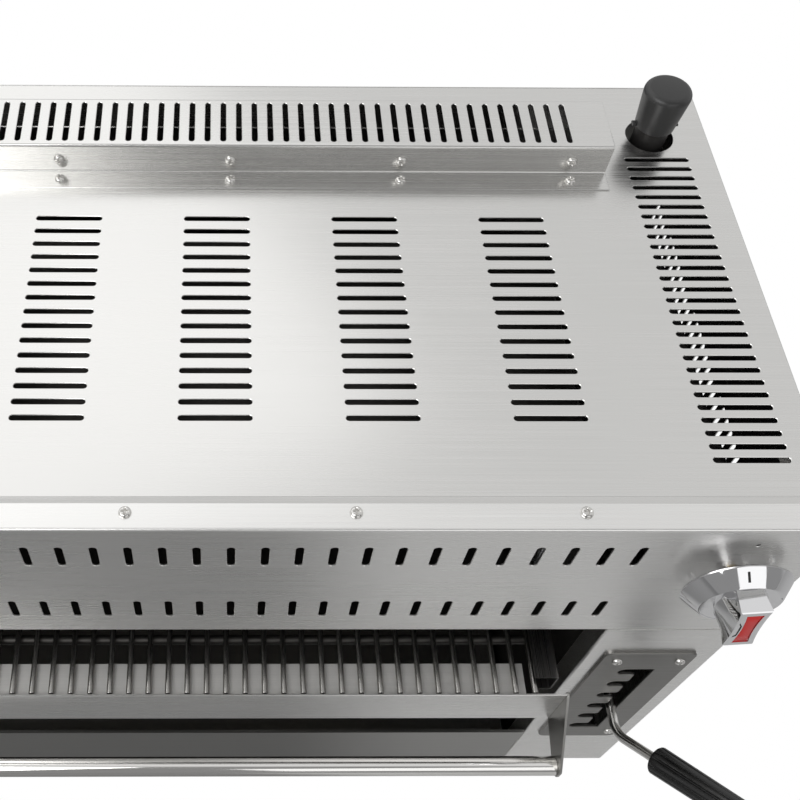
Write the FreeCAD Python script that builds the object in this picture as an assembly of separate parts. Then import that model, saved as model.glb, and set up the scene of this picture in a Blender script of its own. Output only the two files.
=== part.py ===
"""Gas-fired cheese melter: casing, burners, gas train, lift with its lever, rack and drip tray.

The frame's origin is the centre of the base's underside, +X to the right, +Y to the back, +Z up.
Lengths are millimetres. The front face lies at front, the back flange at back.
"""
import FreeCAD
import Part
import math
import os

V = FreeCAD.Vector
X_AXIS = V(1, 0, 0)
Y_AXIS = V(0, 1, 0)
Z_AXIS = V(0, 0, 1)

# Overall sizes
body_width = 914.0
body_depth = 420.0
body_height = 525.0

# Sheet, fits and cuts
sheet = 1.2
bend = 1.0
seam = 0.4
fit_gap = 0.3
bore_gap = 0.05
overrun = 5.0

# Driving places
half_width = body_width / 2
front = -body_depth / 2
back = body_depth / 2
top = body_height

# Fascia
fascia_height = 166.3
fascia_lip = 19.7
fascia_return = 15.0
fascia_slot_length = 27.5
fascia_slot_width = 5.4
fascia_slot_end_margin = 18.3
fascia_slot_count = 31
fascia_upper_row_drop = 38.0
fascia_lower_row_drop = 125.0
fascia_screw_count = 5
fascia_screw_end_margin = 61.3
fascia_screw_setback = 12.7
fascia_bottom = top - fascia_height
index_dot_radius = 1.6
index_dot_depth = 0.5
index_dot_drop = 21.0

# Top panel
joggle = 4.2
top_flange = 15.0
top_slot_length = 50.2
top_slot_width = 4.3
top_slot_end_margin = 49.9
top_slot_rows = 15
top_slot_first = 84.15
top_group_side_gap = 126.9
top_group_pairs = 3
side_slot_length = 51.5
side_slot_width = 4.2
side_slot_end_margin = 28.2
side_slot_rows = 28
side_slot_first = 51.8
side_slot_inset = 48.0
pipe_hole_radius = 19.2
pipe_side_inset = 47.5
pipe_back_inset = 60.0

# Flue cover
flue_side_inset = 93.0
flue_height = 28.0
flue_back_gap = 51.0
flue_depth = 53.5
flue_flange = 18.7
flue_slot_length = 44.0
flue_slot_width = 4.3
flue_slot_end_margin = 34.0
flue_slot_count = 55
flue_screw_count = 6
flue_screw_end_margin = 29.5
flue_face_screw_height = 13.0
flue_flange_screw_inset = 9.2
flue_opening_side_margin = 19.0
flue_opening_margin = 7.0
flue_opening_rear_margin = 1.8

# Columns and side panels
column_width = 103.0
column_return = 20.0
column_outer_return = 12.0
side_vent_length = 50.0
side_vent_width = 4.3
side_vent_end_margin = 44.0
side_vent_count = 31
side_vent_first = 58.0
side_vent_drop = 118.0

# Notch plate
plate_left_margin = 13.0
plate_right_margin = 16.0
plate_top_drop = 211.0
plate_height = 224.0
plate_thickness = 2.5
plate_corner = 6.5
plate_screw_left_inset = 13.0
plate_screw_right_inset = 10.0
plate_screw_inset_z = 16.5
notch_count = 6
notch_pitch = 29.4
notch_height = 13.0
notch_tip_inset = 22.2
finger_end_inset = 38.3
channel_width = 12.3
first_notch_drop = 253.6
column_cut_margin = 4.0
finger_corner = 2.5
channel_corner = 1.5
notch_round_share = 0.97

# Lever and lift shaft
shaft_radius = 8.0
shaft_back_inset = 70.0
shaft_end_clearance = 19.0
lever_radius = 4.25
rest_notch = 4
pivot_reach = 26.0
pivot_pin_radius = 3.0
eye_radius = 8.0
eye_height = 10.0
hub_radius = 15.0
hub_length = 26.0
clevis_ear = 5.0
clevis_half_width = 8.5
lever_forward = 27.5
lever_bend = 22.0
grip_across = 50.0
grip_forward = 69.0
grip_rise = 57.3
grip_start = 44.0
grip_length = 112.0
grip_radius = 12.6
grip_tip_radius = 10.8
grip_flutes = 12
grip_flute_radius = 2.2
grip_end_round = 2.0
rod_seat = 60.0
arm_front_clearance = 100.0
arm_side_offset = 21.0
arm_thickness = 4.0
arm_height = 26.0
arm_boss_radius = 16.0
arm_boss_length = 14.0
arm_pin_radius = 5.0
slot_play = 0.7
slot_run = 8.0

# Bearings of the shaft
bearing_thickness = 4.0
bearing_half_width = 18.0
bearing_side_inset = 27.0
bearing_foot = 16.0
bearing_head = 16.0

# Lift carriages, guides and runners
carriage_thickness = 3.0
carriage_front = 50.0
carriage_end_gap = 10.0
carriage_skirt = 35.0
guide_wall = 2.0
guide_bite = 6.0
guide_base = 60.0
guide_height = 290.0
guide_play = 0.5
runner_side_gap = 18.0
runner_flange = 20.0
runner_wall = 1.5
runner_clear = 11.5
runner_lip = 13.0
runner_front_setback = -11.0
runner_end_gap = 8.0
bracket_front_setback = 90.0
bracket_end_gap = 35.0
bracket_depth = 20.0
bracket_height = 16.0
bracket_slot_margin = 3.0
cross_bar_end_gap = 14.0
cross_bar_radius = 5.0

# Rack
rack_top_drop = 255.0
bar_radius = 2.5
bar_edge_margin = 8.2
bar_half_count = 20
bar_sink = 0.4
bar_front_setback = -19.5
bar_end_gap = 18.0
frame_rod_radius = 4.0
frame_rod_side_gap = 9.0
frame_front_setback = 30.0
frame_end_gap = 24.0
frame_corner = 9.0
rack_side_play = 9.0
apron_setback = -22.5
apron_height = 62.0
apron_thickness = 1.5
apron_flange = 30.0
apron_rise = 3.0
apron_hem = 8.0
apron_shelf_gap = 4.0
end_bracket_thickness = 2.0
end_bracket_depth = 3.0
end_bracket_round = 4.0
handle_radius = 8.0
handle_wall = 1.5
handle_setback = -62.0
handle_drop = 316.5
handle_nose = 1.0

# Drip tray
tray_side_play = 2.0
tray_height = 100.0
tray_hem_height = 25.0
tray_hem_proud = 1.6
tray_sheet = 1.2
tray_front_setback = -1.0
tray_end_gap = 12.0
tray_wall_height = 40.0
tray_wall_inset = 6.0

# Cavity
cavity_back_gap = 90.0
liner_front_setback = 8.0
ceiling_rise = 5.0

# Burners
burner_half_gap = 18.0
burner_side_margin = 36.0
burner_end_gap = 35.0
burner_height = 48.0
burner_front_setback = 100.0
burner_wall = 1.2
burner_ledge = 8.0
tile_thickness = 13.0
tile_gap = 1.0
tile_count = 3
screen_wire_radius = 0.9
screen_wire_count = 24
shield_rise = 95.0
shield_margin = 12.0

# Gas train
manifold_radius = 10.7
manifold_wall = 2.3
manifold_setback = 62.0
manifold_end_clearance = 25.0
gas_pipe_radius = 13.35
gas_pipe_wall = 2.8
gas_pipe_rise = 30.0
gas_pipe_bend = 32.0
tee_radius = 16.0
tee_branch_radius = 15.5
tee_length = 36.0
socket_radius = 14.0
socket_bite = 4.0
bracket_flange_depth = 36.0
bracket_flange_height = 50.0
valve_width = 26.0
valve_height = 30.0
valve_front_setback = 18.0
valve_nose_radius = 9.0
valve_nose_setback = 6.0
spigot_radius = 6.0
feed_radius = 5.0
feed_bend = 16.0
venturi_radius = 14.0
venturi_length = 28.0

# Thread cap on the gas pipe
cap_low = 12.0
cap_high = 44.0
cap_low_radius = 15.6
cap_high_radius = 18.6
cap_dome = 5.0
cap_ear = 2.0
cap_ear_width = 5.0
dome_middle_share = 0.62
dome_height_share = 0.72

# Knobs
knob_side_inset = 49.5
knob_drop = 64.0
knob_rest_turn = 10.0
skirt_back = 9.5
skirt_rim = 2.5
skirt_radius = 36.0
skirt_depth = 13.0
face_radius = 27.0
skirt_wall = 2.2
hub_stand = 3.0
knob_hub_radius = 8.5
grip_bar_depth = 17.5
grip_bar_half_height = 28.5
grip_bar_half_width = 10.0
grip_waist_half_width = 7.8
grip_root_half_height = 25.5
grip_root_half_width = 8.0
grip_root_waist = 17.0
insert_half_height = 23.0
insert_half_width = 5.4
insert_waist = 4.0
insert_depth = 1.2
stem_radius = 4.0
stem_hole_radius = 6.0
stem_seat = 12.0
stem_tail = 4.0

# Screws
screw_head_radius = 4.3
screw_head_height = 2.6
screw_radius = 2.0
screw_length = 7.0
screw_hole_radius = 2.2
recess_width = 0.9
recess_length = 4.6
recess_depth = 1.3

# Mounting holes
leg_side_inset = 47.0
leg_front_inset = 40.0
leg_hole_radius = 5.25
base_hem = 12.0
wall_spacing_x = 600.0
wall_spacing_z = 220.0
wall_hole_radius = 4.5
wall_hole_low = 140.0

# Places worked out from the sizes
opening_half_width = half_width - column_width
cavity_depth = body_depth - cavity_back_gap
side_slot_x = half_width - side_slot_inset
top_group_pitch = 2 * (side_slot_x - top_group_side_gap) / (2 * top_group_pairs - 1)
pipe_x = half_width - pipe_side_inset
pipe_setback = body_depth - pipe_back_inset
side_slot_pitch = (pipe_setback - side_slot_end_margin - side_slot_first) / (side_slot_rows - 1)
flue_half_width = half_width - flue_side_inset
flue_front = body_depth - flue_back_gap - flue_depth
top_slot_pitch = (flue_front - top_slot_end_margin - top_slot_first) / (top_slot_rows - 1)
flue_slot_pitch = 2 * (flue_half_width - flue_slot_end_margin) / (flue_slot_count - 1)
flue_screw_pitch = 2 * (flue_half_width - flue_screw_end_margin) / (flue_screw_count - 1)
flue_opening_half_width = flue_half_width - flue_opening_side_margin
fascia_slot_pitch = 2 * (opening_half_width - fascia_slot_end_margin) / (fascia_slot_count - 1)
fascia_screw_pitch = 2 * (opening_half_width - fascia_screw_end_margin) / (fascia_screw_count - 1)
side_vent_pitch = (body_depth - side_vent_end_margin - side_vent_first) / (side_vent_count - 1)
plate_left = opening_half_width + plate_left_margin
plate_right = half_width - plate_right_margin
notch_tip_x = plate_left + notch_tip_inset
finger_end_x = plate_left + finger_end_inset
shaft_setback = body_depth - shaft_back_inset
shaft_half_length = half_width - shaft_end_clearance
arm_length = shaft_setback - arm_front_clearance
arm_x = opening_half_width + arm_side_offset
bearing_x = half_width - bearing_side_inset
carriage_rear = cavity_depth - carriage_end_gap
runner_outer = opening_half_width - runner_side_gap
runner_inner = runner_outer - runner_flange
runner_rear_setback = cavity_depth - runner_end_gap
bracket_rear_setback = carriage_rear - bracket_end_gap
cross_bar_setback = cavity_depth - cross_bar_end_gap
frame_rod_x = runner_outer - frame_rod_side_gap
frame_rear_setback = cavity_depth - frame_end_gap
bar_pitch = (frame_rod_x - bar_edge_margin) / bar_half_count
bar_rear_setback = cavity_depth - bar_end_gap
rack_half_width = opening_half_width - rack_side_play
tray_half_width = opening_half_width - tray_side_play
tray_depth = cavity_depth - tray_end_gap
burner_width = opening_half_width - burner_side_margin - burner_half_gap
burner_depth = cavity_depth - burner_front_setback - burner_end_gap
screen_wire_pitch = burner_width / (screen_wire_count + 1)
manifold_half_length = half_width - manifold_end_clearance
knob_x = half_width - knob_side_inset
leg_spacing_x = body_width - 2 * leg_side_inset
leg_spacing_y = body_depth - 2 * leg_front_inset
ceiling = fascia_bottom + ceiling_rise
shaft_y = front + shaft_setback
cavity_back = front + cavity_depth
lowest_notch = top - first_notch_drop - (notch_count - 1) * notch_pitch
highest_notch = top - first_notch_drop
shaft_z = (lowest_notch + highest_notch) / 2
rest_z = highest_notch - (rest_notch - 1) * notch_pitch
lever_x = finger_end_x + lever_radius + seam
rest_angle = math.degrees(math.atan((shaft_z - rest_z) / shaft_setback))
up_angle = math.degrees(math.atan((highest_notch - shaft_z) / shaft_setback)) + rest_angle
down_angle = math.degrees(math.atan((shaft_z - lowest_notch) / shaft_setback)) - rest_angle
arm_rest_drop = arm_length * math.sin(math.radians(rest_angle))
lift_up = arm_length * math.sin(math.radians(up_angle - rest_angle)) + arm_rest_drop
lift_down = arm_length * math.sin(math.radians(down_angle + rest_angle)) - arm_rest_drop
rack_top = top - rack_top_drop
bar_z = rack_top - bar_radius
frame_z = bar_z - bar_radius - frame_rod_radius
pin_z = shaft_z - arm_rest_drop
pin_y = shaft_y - arm_length * math.cos(math.radians(rest_angle))


def box(x0, x1, y0, y1, z0, z1):
    """A block between two corners."""
    low = V(min(x0, x1), min(y0, y1), min(z0, z1))
    return Part.makeBox(abs(x1 - x0), abs(y1 - y0), abs(z1 - z0), low)


def rod(radius, start, end):
    """A round bar from start to end."""
    run = end - start
    return Part.makeCylinder(radius, run.Length, start, run)


def place_on(plane, at):
    """A function that puts flat coordinates on the level, upright or sideways plane at that height."""
    places = {
        "level": lambda u, v: V(u, v, at),
        "upright": lambda u, v: V(u, at, v),
        "sideways": lambda u, v: V(at, u, v),
    }
    return places[plane]


def outline(place, corners, radii):
    """A closed wire through the corners, each one rounded by its radius."""
    count = len(corners)
    stops = []
    for i in range(count):
        here = V(corners[i][0], corners[i][1], 0)
        before = V(corners[i - 1][0], corners[i - 1][1], 0)
        after = V(corners[(i + 1) % count][0], corners[(i + 1) % count][1], 0)
        if radii[i] <= 0:
            stops.append((here, None, here))
            continue
        to_before = (before - here).normalize()
        to_after = (after - here).normalize()
        half_turn = (math.pi - to_before.getAngle(to_after)) / 2
        reach = radii[i] * math.tan(half_turn)
        inward = (to_before + to_after).normalize()
        middle = here + inward * (radii[i] / math.cos(half_turn) - radii[i])
        stops.append((here + to_before * reach, middle, here + to_after * reach))
    edges = []
    for i in range(count):
        start, middle, end = stops[i]
        if middle is not None:
            arc = Part.Arc(place(start.x, start.y), place(middle.x, middle.y), place(end.x, end.y))
            edges.append(arc.toShape())
        following = stops[(i + 1) % count][0]
        if following != end:
            edges.append(Part.LineSegment(place(end.x, end.y), place(following.x, following.y)).toShape())
    return Part.Wire(edges)


def rectangle(place, u0, u1, v0, v1, radius=0.0):
    """A closed rectangle, its corners rounded by the radius."""
    return outline(place, [(u0, v0), (u1, v0), (u1, v1), (u0, v1)], [radius] * 4)


def slot(place, u, v, length, width, lengthways):
    """The wire of a round-ended slot centred at u, v, with its length along u or v."""
    radius = width / 2
    run = length / 2 - radius
    du, dv = (1, 0) if lengthways == "u" else (0, 1)
    corners = []
    for along, across in ((-1, 1), (1, 1), (1, -1), (-1, -1)):
        corners.append(
            (u + along * run * du + across * radius * dv, v + along * run * dv + across * radius * du),
        )
    far = place(u + (run + radius) * du, v + (run + radius) * dv)
    near = place(u - (run + radius) * du, v - (run + radius) * dv)
    p = [place(*corner) for corner in corners]
    edges = [
        Part.LineSegment(p[0], p[1]).toShape(),
        Part.Arc(p[1], far, p[2]).toShape(),
        Part.LineSegment(p[2], p[3]).toShape(),
        Part.Arc(p[3], near, p[0]).toShape(),
    ]
    return Part.Wire(edges)


def ring(place, u, v, radius):
    """A circle's wire."""
    across = place(1, 0) - place(0, 0)
    upward = place(0, 1) - place(0, 0)
    return Part.Wire(Part.Circle(place(u, v), across.cross(upward), radius).toShape())


def flat(wires, run):
    """A flat sheet: the first wire is its edge and the others are holes, and run is its thickness."""
    return Part.makeFace(wires, "Part::FaceMakerBullseye").extrude(run)


def punches(wires, run):
    """The cutters that punch the wires' holes through a bent sheet."""
    return Part.makeCompound([Part.Face(wire).extrude(run) for wire in wires])


def folded(place, corners, thickness, side, run, radius=bend):
    """A bent sheet: corners follow its outer face, side is 1 or -1 for where the thickness lies, and
    run is its length."""
    count = len(corners)
    steps = []
    for i in range(count - 1):
        step = V(corners[i + 1][0] - corners[i][0], corners[i + 1][1] - corners[i][1], 0).normalize()
        steps.append(step)
    inner = []
    outer_radii = []
    inner_radii = []
    for i in range(count):
        here = V(corners[i][0], corners[i][1], 0)
        before = steps[max(i - 1, 0)]
        after = steps[min(i, count - 2)]
        aside = (V(-before.y, before.x, 0) + V(-after.y, after.x, 0)).normalize() * side
        square = V(-after.y, after.x, 0) * side
        inner.append(here + aside * (thickness / aside.dot(square)))
        turn = (before.x * after.y - before.y * after.x) * side
        if i in (0, count - 1):
            outer_radii.append(0)
            inner_radii.append(0)
        elif turn > 0:
            outer_radii.append(radius + thickness)
            inner_radii.append(radius)
        else:
            outer_radii.append(radius)
            inner_radii.append(radius + thickness)
    around = list(corners) + [(p.x, p.y) for p in reversed(inner)]
    wire = outline(place, around, outer_radii + list(reversed(inner_radii)))
    return Part.Face(wire).extrude(run)


def mirrored(shape):
    """The left-hand copy of a right-hand piece."""
    return shape.mirror(V(0, 0, 0), X_AXIS)


def swung(shape):
    """A piece of the lift shaft, turned from level to the shaft's rest angle."""
    turned = shape.copy()
    turned.rotate(V(0, shaft_y, shaft_z), X_AXIS, rest_angle)
    return turned


def pipe(points, radius, bend_radius):
    """A round bar along straight runs joined by tangent arcs."""
    edges = []
    start = points[0]
    for i in range(1, len(points) - 1):
        here = points[i]
        back_way = (points[i - 1] - here).normalize()
        on_way = (points[i + 1] - here).normalize()
        half_turn = (math.pi - back_way.getAngle(on_way)) / 2
        reach = bend_radius * math.tan(half_turn)
        inward = (back_way + on_way).normalize()
        middle = here + inward * (bend_radius / math.cos(half_turn) - bend_radius)
        edges.append(Part.LineSegment(start, here + back_way * reach).toShape())
        edges.append(Part.Arc(here + back_way * reach, middle, here + on_way * reach).toShape())
        start = here + on_way * reach
    edges.append(Part.LineSegment(start, points[-1]).toShape())
    section = Part.Wire(Part.Circle(points[0], points[1] - points[0], radius).toShape())
    return Part.Wire(edges).makePipeShell([section], True, False)


def pointed(shape, base, direction):
    """A shape made along +Z, moved to base and turned to point that way."""
    placed = shape.copy()
    placed.Placement = FreeCAD.Placement(base, FreeCAD.Rotation(Z_AXIS, direction))
    return placed


def screw(base, direction):
    """A pan-head screw with a cross recess: its head stands on base and its shank goes in."""
    head = Part.makeCylinder(screw_head_radius, screw_head_height)
    rim = [edge for edge in head.Edges if edge.BoundBox.ZMin > screw_head_height / 2]
    head = head.makeFillet(screw_head_height * 2 / 3, rim)
    floor = screw_head_height - recess_depth
    for half_x, half_y in ((recess_length / 2, recess_width / 2), (recess_width / 2, recess_length / 2)):
        head = head.cut(box(-half_x, half_x, -half_y, half_y, floor, screw_head_height + overrun))
    body = head.fuse(Part.makeCylinder(screw_radius, screw_length, V(0, 0, 0), -Z_AXIS))
    return pointed(body.removeSplitter(), base, direction)


def spread(count, pitch):
    """Places in a row, evenly spaced about the middle."""
    return [(i - (count - 1) / 2) * pitch for i in range(count)]


fascia_screw_places = spread(fascia_screw_count, fascia_screw_pitch)
flue_screw_places = spread(flue_screw_count, flue_screw_pitch)
knob_z = top - knob_drop
runner_top = rack_top + runner_clear + runner_wall
runner_bottom = frame_z - frame_rod_radius - fit_gap - runner_wall
bracket_z = (runner_top + runner_bottom) / 2
carriage_x = opening_half_width + 2 * sheet + guide_wall + guide_play
burner_low = ceiling + sheet
handle_z = top - handle_drop
tray_low = sheet + fit_gap
flue_y = front + flue_front
flue_rear = flue_y + flue_depth
pipe_y = front + pipe_setback
manifold_y = front + manifold_setback


def top_panel():
    """The top sheet with its slots, side and rear flanges and the joggle that tucks under the fascia."""
    start = front + fascia_lip + joggle
    end = back - sheet - bend
    edge = half_width - 2 * sheet
    section = place_on("upright", start)
    corners = [
        (-half_width, top - top_flange),
        (-half_width, top),
        (half_width, top),
        (half_width, top - top_flange),
    ]
    shape = folded(section, corners, sheet, -1, V(0, end - start, 0))
    section = place_on("sideways", -edge)
    rear = folded(
        section,
        [(end - overrun, top), (back, top), (back, top - top_flange)],
        sheet,
        -1,
        V(2 * edge, 0, 0),
    )
    foot = front + fascia_lip + seam
    edge_y = front + sheet + bend + seam
    tuck = [(start + overrun, top), (start, top), (foot, top - sheet), (edge_y, top - sheet)]
    shape = shape.fuse([rear, folded(section, tuck, sheet, 1, V(2 * edge, 0, 0))]).removeSplitter()
    level = place_on("level", top - sheet - overrun)
    holes = []
    for x in spread(2 * top_group_pairs, top_group_pitch):
        for row in range(top_slot_rows):
            y = front + top_slot_first + row * top_slot_pitch
            holes.append(slot(level, x, y, top_slot_length, top_slot_width, "u"))
    for x in (-side_slot_x, side_slot_x):
        for row in range(side_slot_rows):
            y = front + side_slot_first + row * side_slot_pitch
            holes.append(slot(level, x, y, side_slot_length, side_slot_width, "u"))
    holes.append(ring(level, pipe_x, pipe_y, pipe_hole_radius))
    opening = (flue_y + flue_opening_margin, flue_rear - flue_opening_rear_margin)
    holes.append(rectangle(level, -flue_opening_half_width, flue_opening_half_width, *opening, overrun))
    for x in fascia_screw_places:
        holes.append(ring(level, x, front + fascia_screw_setback, screw_hole_radius))
    for x in flue_screw_places:
        holes.append(ring(level, x, flue_y - flue_flange_screw_inset, screw_hole_radius))
    return shape.cut(punches(holes, V(0, 0, 2 * overrun)))


def front_fascia():
    """The front sheet over the opening: lip on top, two rows of slots, knob holes and index dots."""
    section = place_on("sideways", -half_width)
    corners = [
        (front + fascia_lip, top),
        (front, top),
        (front, fascia_bottom),
        (front + fascia_return, fascia_bottom),
    ]
    shape = folded(section, corners, sheet, 1, V(body_width, 0, 0))
    deep = front + sheet
    for x in (-half_width, half_width - sheet):
        end = box(x, x + sheet, deep, front + column_outer_return, fascia_bottom + sheet, top - sheet)
        shape = shape.fuse(end)
    behind = (
        deep + bend, front + fascia_return + overrun, fascia_bottom - overrun, fascia_bottom + 2 * sheet,
    )
    for way in (-1, 1):
        shape = shape.cut(box(way * opening_half_width, way * (half_width - sheet), *behind))
    upright = place_on("upright", front - overrun)
    holes = []
    for x in spread(fascia_slot_count, fascia_slot_pitch):
        for drop in (fascia_upper_row_drop, fascia_lower_row_drop):
            holes.append(slot(upright, x, top - drop, fascia_slot_length, fascia_slot_width, "v"))
    for x in (-knob_x, knob_x):
        holes.append(ring(upright, x, knob_z, stem_hole_radius))
    shape = shape.cut(punches(holes, V(0, 2 * overrun, 0)))
    dots = [ring(upright, x, top - index_dot_drop, index_dot_radius) for x in (-knob_x, knob_x)]
    shape = shape.cut(punches(dots, V(0, overrun + index_dot_depth, 0)))
    level = place_on("level", top - overrun)
    holes = [ring(level, x, front + fascia_screw_setback, screw_hole_radius) for x in fascia_screw_places]
    return shape.cut(punches(holes, V(0, 0, 2 * overrun))).removeSplitter()


def fascia_screws():
    return Part.makeCompound(
        [screw(V(x, front + fascia_screw_setback, top), Z_AXIS) for x in fascia_screw_places]
    )


def right_side_panel():
    """The side sheet with its row of upright vents."""
    side = place_on("sideways", half_width - 2 * sheet)
    wires = [rectangle(side, front + sheet + bend, back - 2 * sheet, 0, top - sheet - bend)]
    for i in range(side_vent_count):
        y = front + side_vent_first + i * side_vent_pitch
        wires.append(slot(side, y, top - side_vent_drop, side_vent_length, side_vent_width, "v"))
    return flat(wires, V(sheet, 0, 0))


def back_panel():
    """The rear sheet with the four holes for a wall bracket."""
    upright = place_on("upright", back - 2 * sheet)
    edge = half_width - sheet
    wires = [rectangle(upright, -edge, edge, 0, top - sheet - bend)]
    for x in spread(2, wall_spacing_x):
        for z in (wall_hole_low, wall_hole_low + wall_spacing_z):
            wires.append(ring(upright, x, z, wall_hole_radius))
    return flat(wires, V(0, sheet, 0))


def base_panel():
    """The bottom sheet with turned-up sides and the holes for leg bolts."""
    start = front + sheet
    edge = half_width - 2 * sheet
    corners = [(-edge, base_hem), (-edge, 0), (edge, 0), (edge, base_hem)]
    shape = folded(place_on("upright", start), corners, sheet, 1, V(0, back - 2 * sheet - start, 0))
    level = place_on("level", -overrun)
    holes = []
    for x in spread(2, leg_spacing_x):
        for y in spread(2, leg_spacing_y):
            holes.append(ring(level, x, y, leg_hole_radius))
    return shape.cut(punches(holes, V(0, 0, 2 * overrun)))


def plain_column():
    """The right front column before its cut-outs: a channel with an inner and an outer return."""
    corners = [
        (opening_half_width, front + column_return),
        (opening_half_width, front),
        (half_width, front),
        (half_width, front + column_outer_return),
    ]
    shape = folded(place_on("level", 0), corners, sheet, 1, V(0, 0, fascia_bottom - seam))
    edge = half_width - 2 * sheet
    return shape.cut(
        box(
            opening_half_width - overrun, edge, front + sheet, front + 2 * column_return, -overrun, sheet,
        ),
    )


def plate_screw_places():
    low = top - plate_top_drop - plate_height + plate_screw_inset_z
    high = top - plate_top_drop - plate_screw_inset_z
    return [
        (x, z)
        for x in (plate_left + plate_screw_left_inset, plate_right - plate_screw_right_inset)
        for z in (low, high)
    ]


def right_front_column():
    """The right column, open behind the notch plate where the lever comes out."""
    upright = place_on("upright", front - overrun)
    left = notch_tip_x - column_cut_margin
    right = finger_end_x + channel_width + column_cut_margin
    low = lowest_notch - notch_height / 2 - column_cut_margin
    high = highest_notch + notch_height / 2 + column_cut_margin
    holes = [rectangle(upright, left, right, low, high, finger_corner)]
    holes += [ring(upright, x, z, screw_hole_radius) for x, z in plate_screw_places()]
    return plain_column().cut(punches(holes, V(0, 2 * overrun, 0)))


def notch_plate():
    """The plate on the right column: an upright channel with round-ended notches to its left."""
    upright = place_on("upright", front - plate_thickness)
    low = top - plate_top_drop - plate_height
    edge = rectangle(upright, plate_left, plate_right, low, top - plate_top_drop, plate_corner)
    shape = Part.Face(edge).extrude(V(0, plate_thickness, 0))
    face_edges = [e for e in shape.Edges if e.BoundBox.YMax < front - plate_thickness / 2]
    shape = shape.makeFillet(plate_thickness / 3, face_edges)
    right = finger_end_x + channel_width
    half = notch_height / 2
    corners = [(right, highest_notch + half), (right, lowest_notch - half)]
    radii = [channel_corner, channel_corner]
    for i in range(notch_count):
        z = lowest_notch + i * notch_pitch
        corners += [(notch_tip_x, z - half), (notch_tip_x, z + half)]
        radii += [half * notch_round_share] * 2
        if i < notch_count - 1:
            corners += [(finger_end_x, z + half), (finger_end_x, z + notch_pitch - half)]
            radii += [finger_corner] * 2
    upright = place_on("upright", front - overrun)
    holes = [outline(upright, corners, radii)]
    holes += [ring(upright, x, z, screw_hole_radius) for x, z in plate_screw_places()]
    return shape.cut(punches(holes, V(0, 2 * overrun, 0)))


def notch_plate_screws():
    face = front - plate_thickness
    return Part.makeCompound([screw(V(x, face, z), -Y_AXIS) for x, z in plate_screw_places()])


def flue_cover():
    """The slotted hood at the back of the top, with a screwed flange in front and closed ends."""
    section = place_on("sideways", -flue_half_width)
    roof = top + flue_height
    corners = [
        (flue_y - flue_flange, top + sheet),
        (flue_y, top + sheet),
        (flue_y, roof),
        (flue_rear, roof),
        (flue_rear, top),
    ]
    shape = folded(section, corners, sheet, -1, V(2 * flue_half_width, 0, 0))
    for x in (-flue_half_width, flue_half_width - sheet):
        shape = shape.fuse(box(x, x + sheet, flue_y + sheet, flue_rear - sheet, top, roof - sheet))
    level = place_on("level", roof - overrun)
    middle = (flue_y + flue_rear) / 2
    holes = [
        slot(level, x, middle, flue_slot_length, flue_slot_width, "v")
        for x in spread(flue_slot_count, flue_slot_pitch)
    ]
    shape = shape.cut(punches(holes, V(0, 0, 2 * overrun)))
    upright = place_on("upright", flue_y - overrun)
    holes = [ring(upright, x, top + flue_face_screw_height, screw_hole_radius) for x in flue_screw_places]
    shape = shape.cut(punches(holes, V(0, 2 * overrun, 0)))
    level = place_on("level", top - overrun)
    holes = [
        ring(level, x, flue_y - flue_flange_screw_inset, screw_hole_radius) for x in flue_screw_places
    ]
    return shape.cut(punches(holes, V(0, 0, 2 * overrun))).removeSplitter()


def flue_cover_screws():
    screws = []
    for x in flue_screw_places:
        screws.append(screw(V(x, flue_y, top + flue_face_screw_height), -Y_AXIS))
        screws.append(screw(V(x, flue_y - flue_flange_screw_inset, top + sheet), Z_AXIS))
    return Part.makeCompound(screws)


def flue_angle():
    """The angle inside the hood that takes its front screws."""
    section = place_on("sideways", -flue_opening_half_width)
    near = flue_y + sheet
    height = flue_height - 2 * sheet
    corners = [(near, top + height), (near, top), (flue_y + flue_opening_margin, top)]
    shape = folded(section, corners, sheet, 1, V(2 * flue_opening_half_width, 0, 0))
    upright = place_on("upright", flue_y - overrun)
    holes = [ring(upright, x, top + flue_face_screw_height, screw_hole_radius) for x in flue_screw_places]
    return shape.cut(punches(holes, V(0, 3 * overrun, 0)))


def right_liner():
    """The cavity's side wall, with the upright slots that the carriage's tabs pass through."""
    side = place_on("sideways", opening_half_width + sheet)
    wires = [rectangle(side, front + liner_front_setback, cavity_back, sheet, ceiling)]
    low = bracket_z - lift_down - bracket_height / 2 - bracket_slot_margin
    high = bracket_z + lift_up + bracket_height / 2 + bracket_slot_margin
    half = bracket_depth / 2 + bracket_slot_margin
    for setback in (bracket_front_setback, bracket_rear_setback):
        y = front + setback
        wires.append(rectangle(side, y - half, y + half, low, high, finger_corner))
    return flat(wires, V(sheet, 0, 0))


def back_liner():
    upright = place_on("upright", cavity_back)
    edge = opening_half_width + 2 * sheet
    return flat([rectangle(upright, -edge, edge, sheet, ceiling)], V(0, sheet, 0))


def burner_sides():
    """The left and right limits in X of the right burner."""
    return burner_half_gap, burner_half_gap + burner_width


def ceiling_panel():
    """The sheet over the cavity that carries the burners, open under them and at the flue."""
    level = place_on("level", ceiling)
    edge = opening_half_width + 2 * sheet
    wires = [rectangle(level, -edge, edge, front + liner_front_setback, cavity_back + sheet)]
    near = front + burner_front_setback
    x0, x1 = burner_sides()
    for low, high in ((-x1, -x0), (x0, x1)):
        sides = (
            low + burner_ledge,
            high - burner_ledge,
            near + burner_ledge,
            near + burner_depth - burner_ledge,
        )
        wires.append(rectangle(level, *sides, bend))
    wires.append(
        rectangle(level, -x1, x1, near + burner_depth + burner_ledge, cavity_back - burner_ledge, bend),
    )
    return flat(wires, V(0, 0, sheet))


def venturi_place():
    """Where the feed tube meets the right burner's inlet, on the burner's front wall."""
    return V(
        burner_half_gap + burner_width - 2 * venturi_radius,
        front + burner_front_setback,
        burner_low + burner_height / 2,
    )


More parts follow.
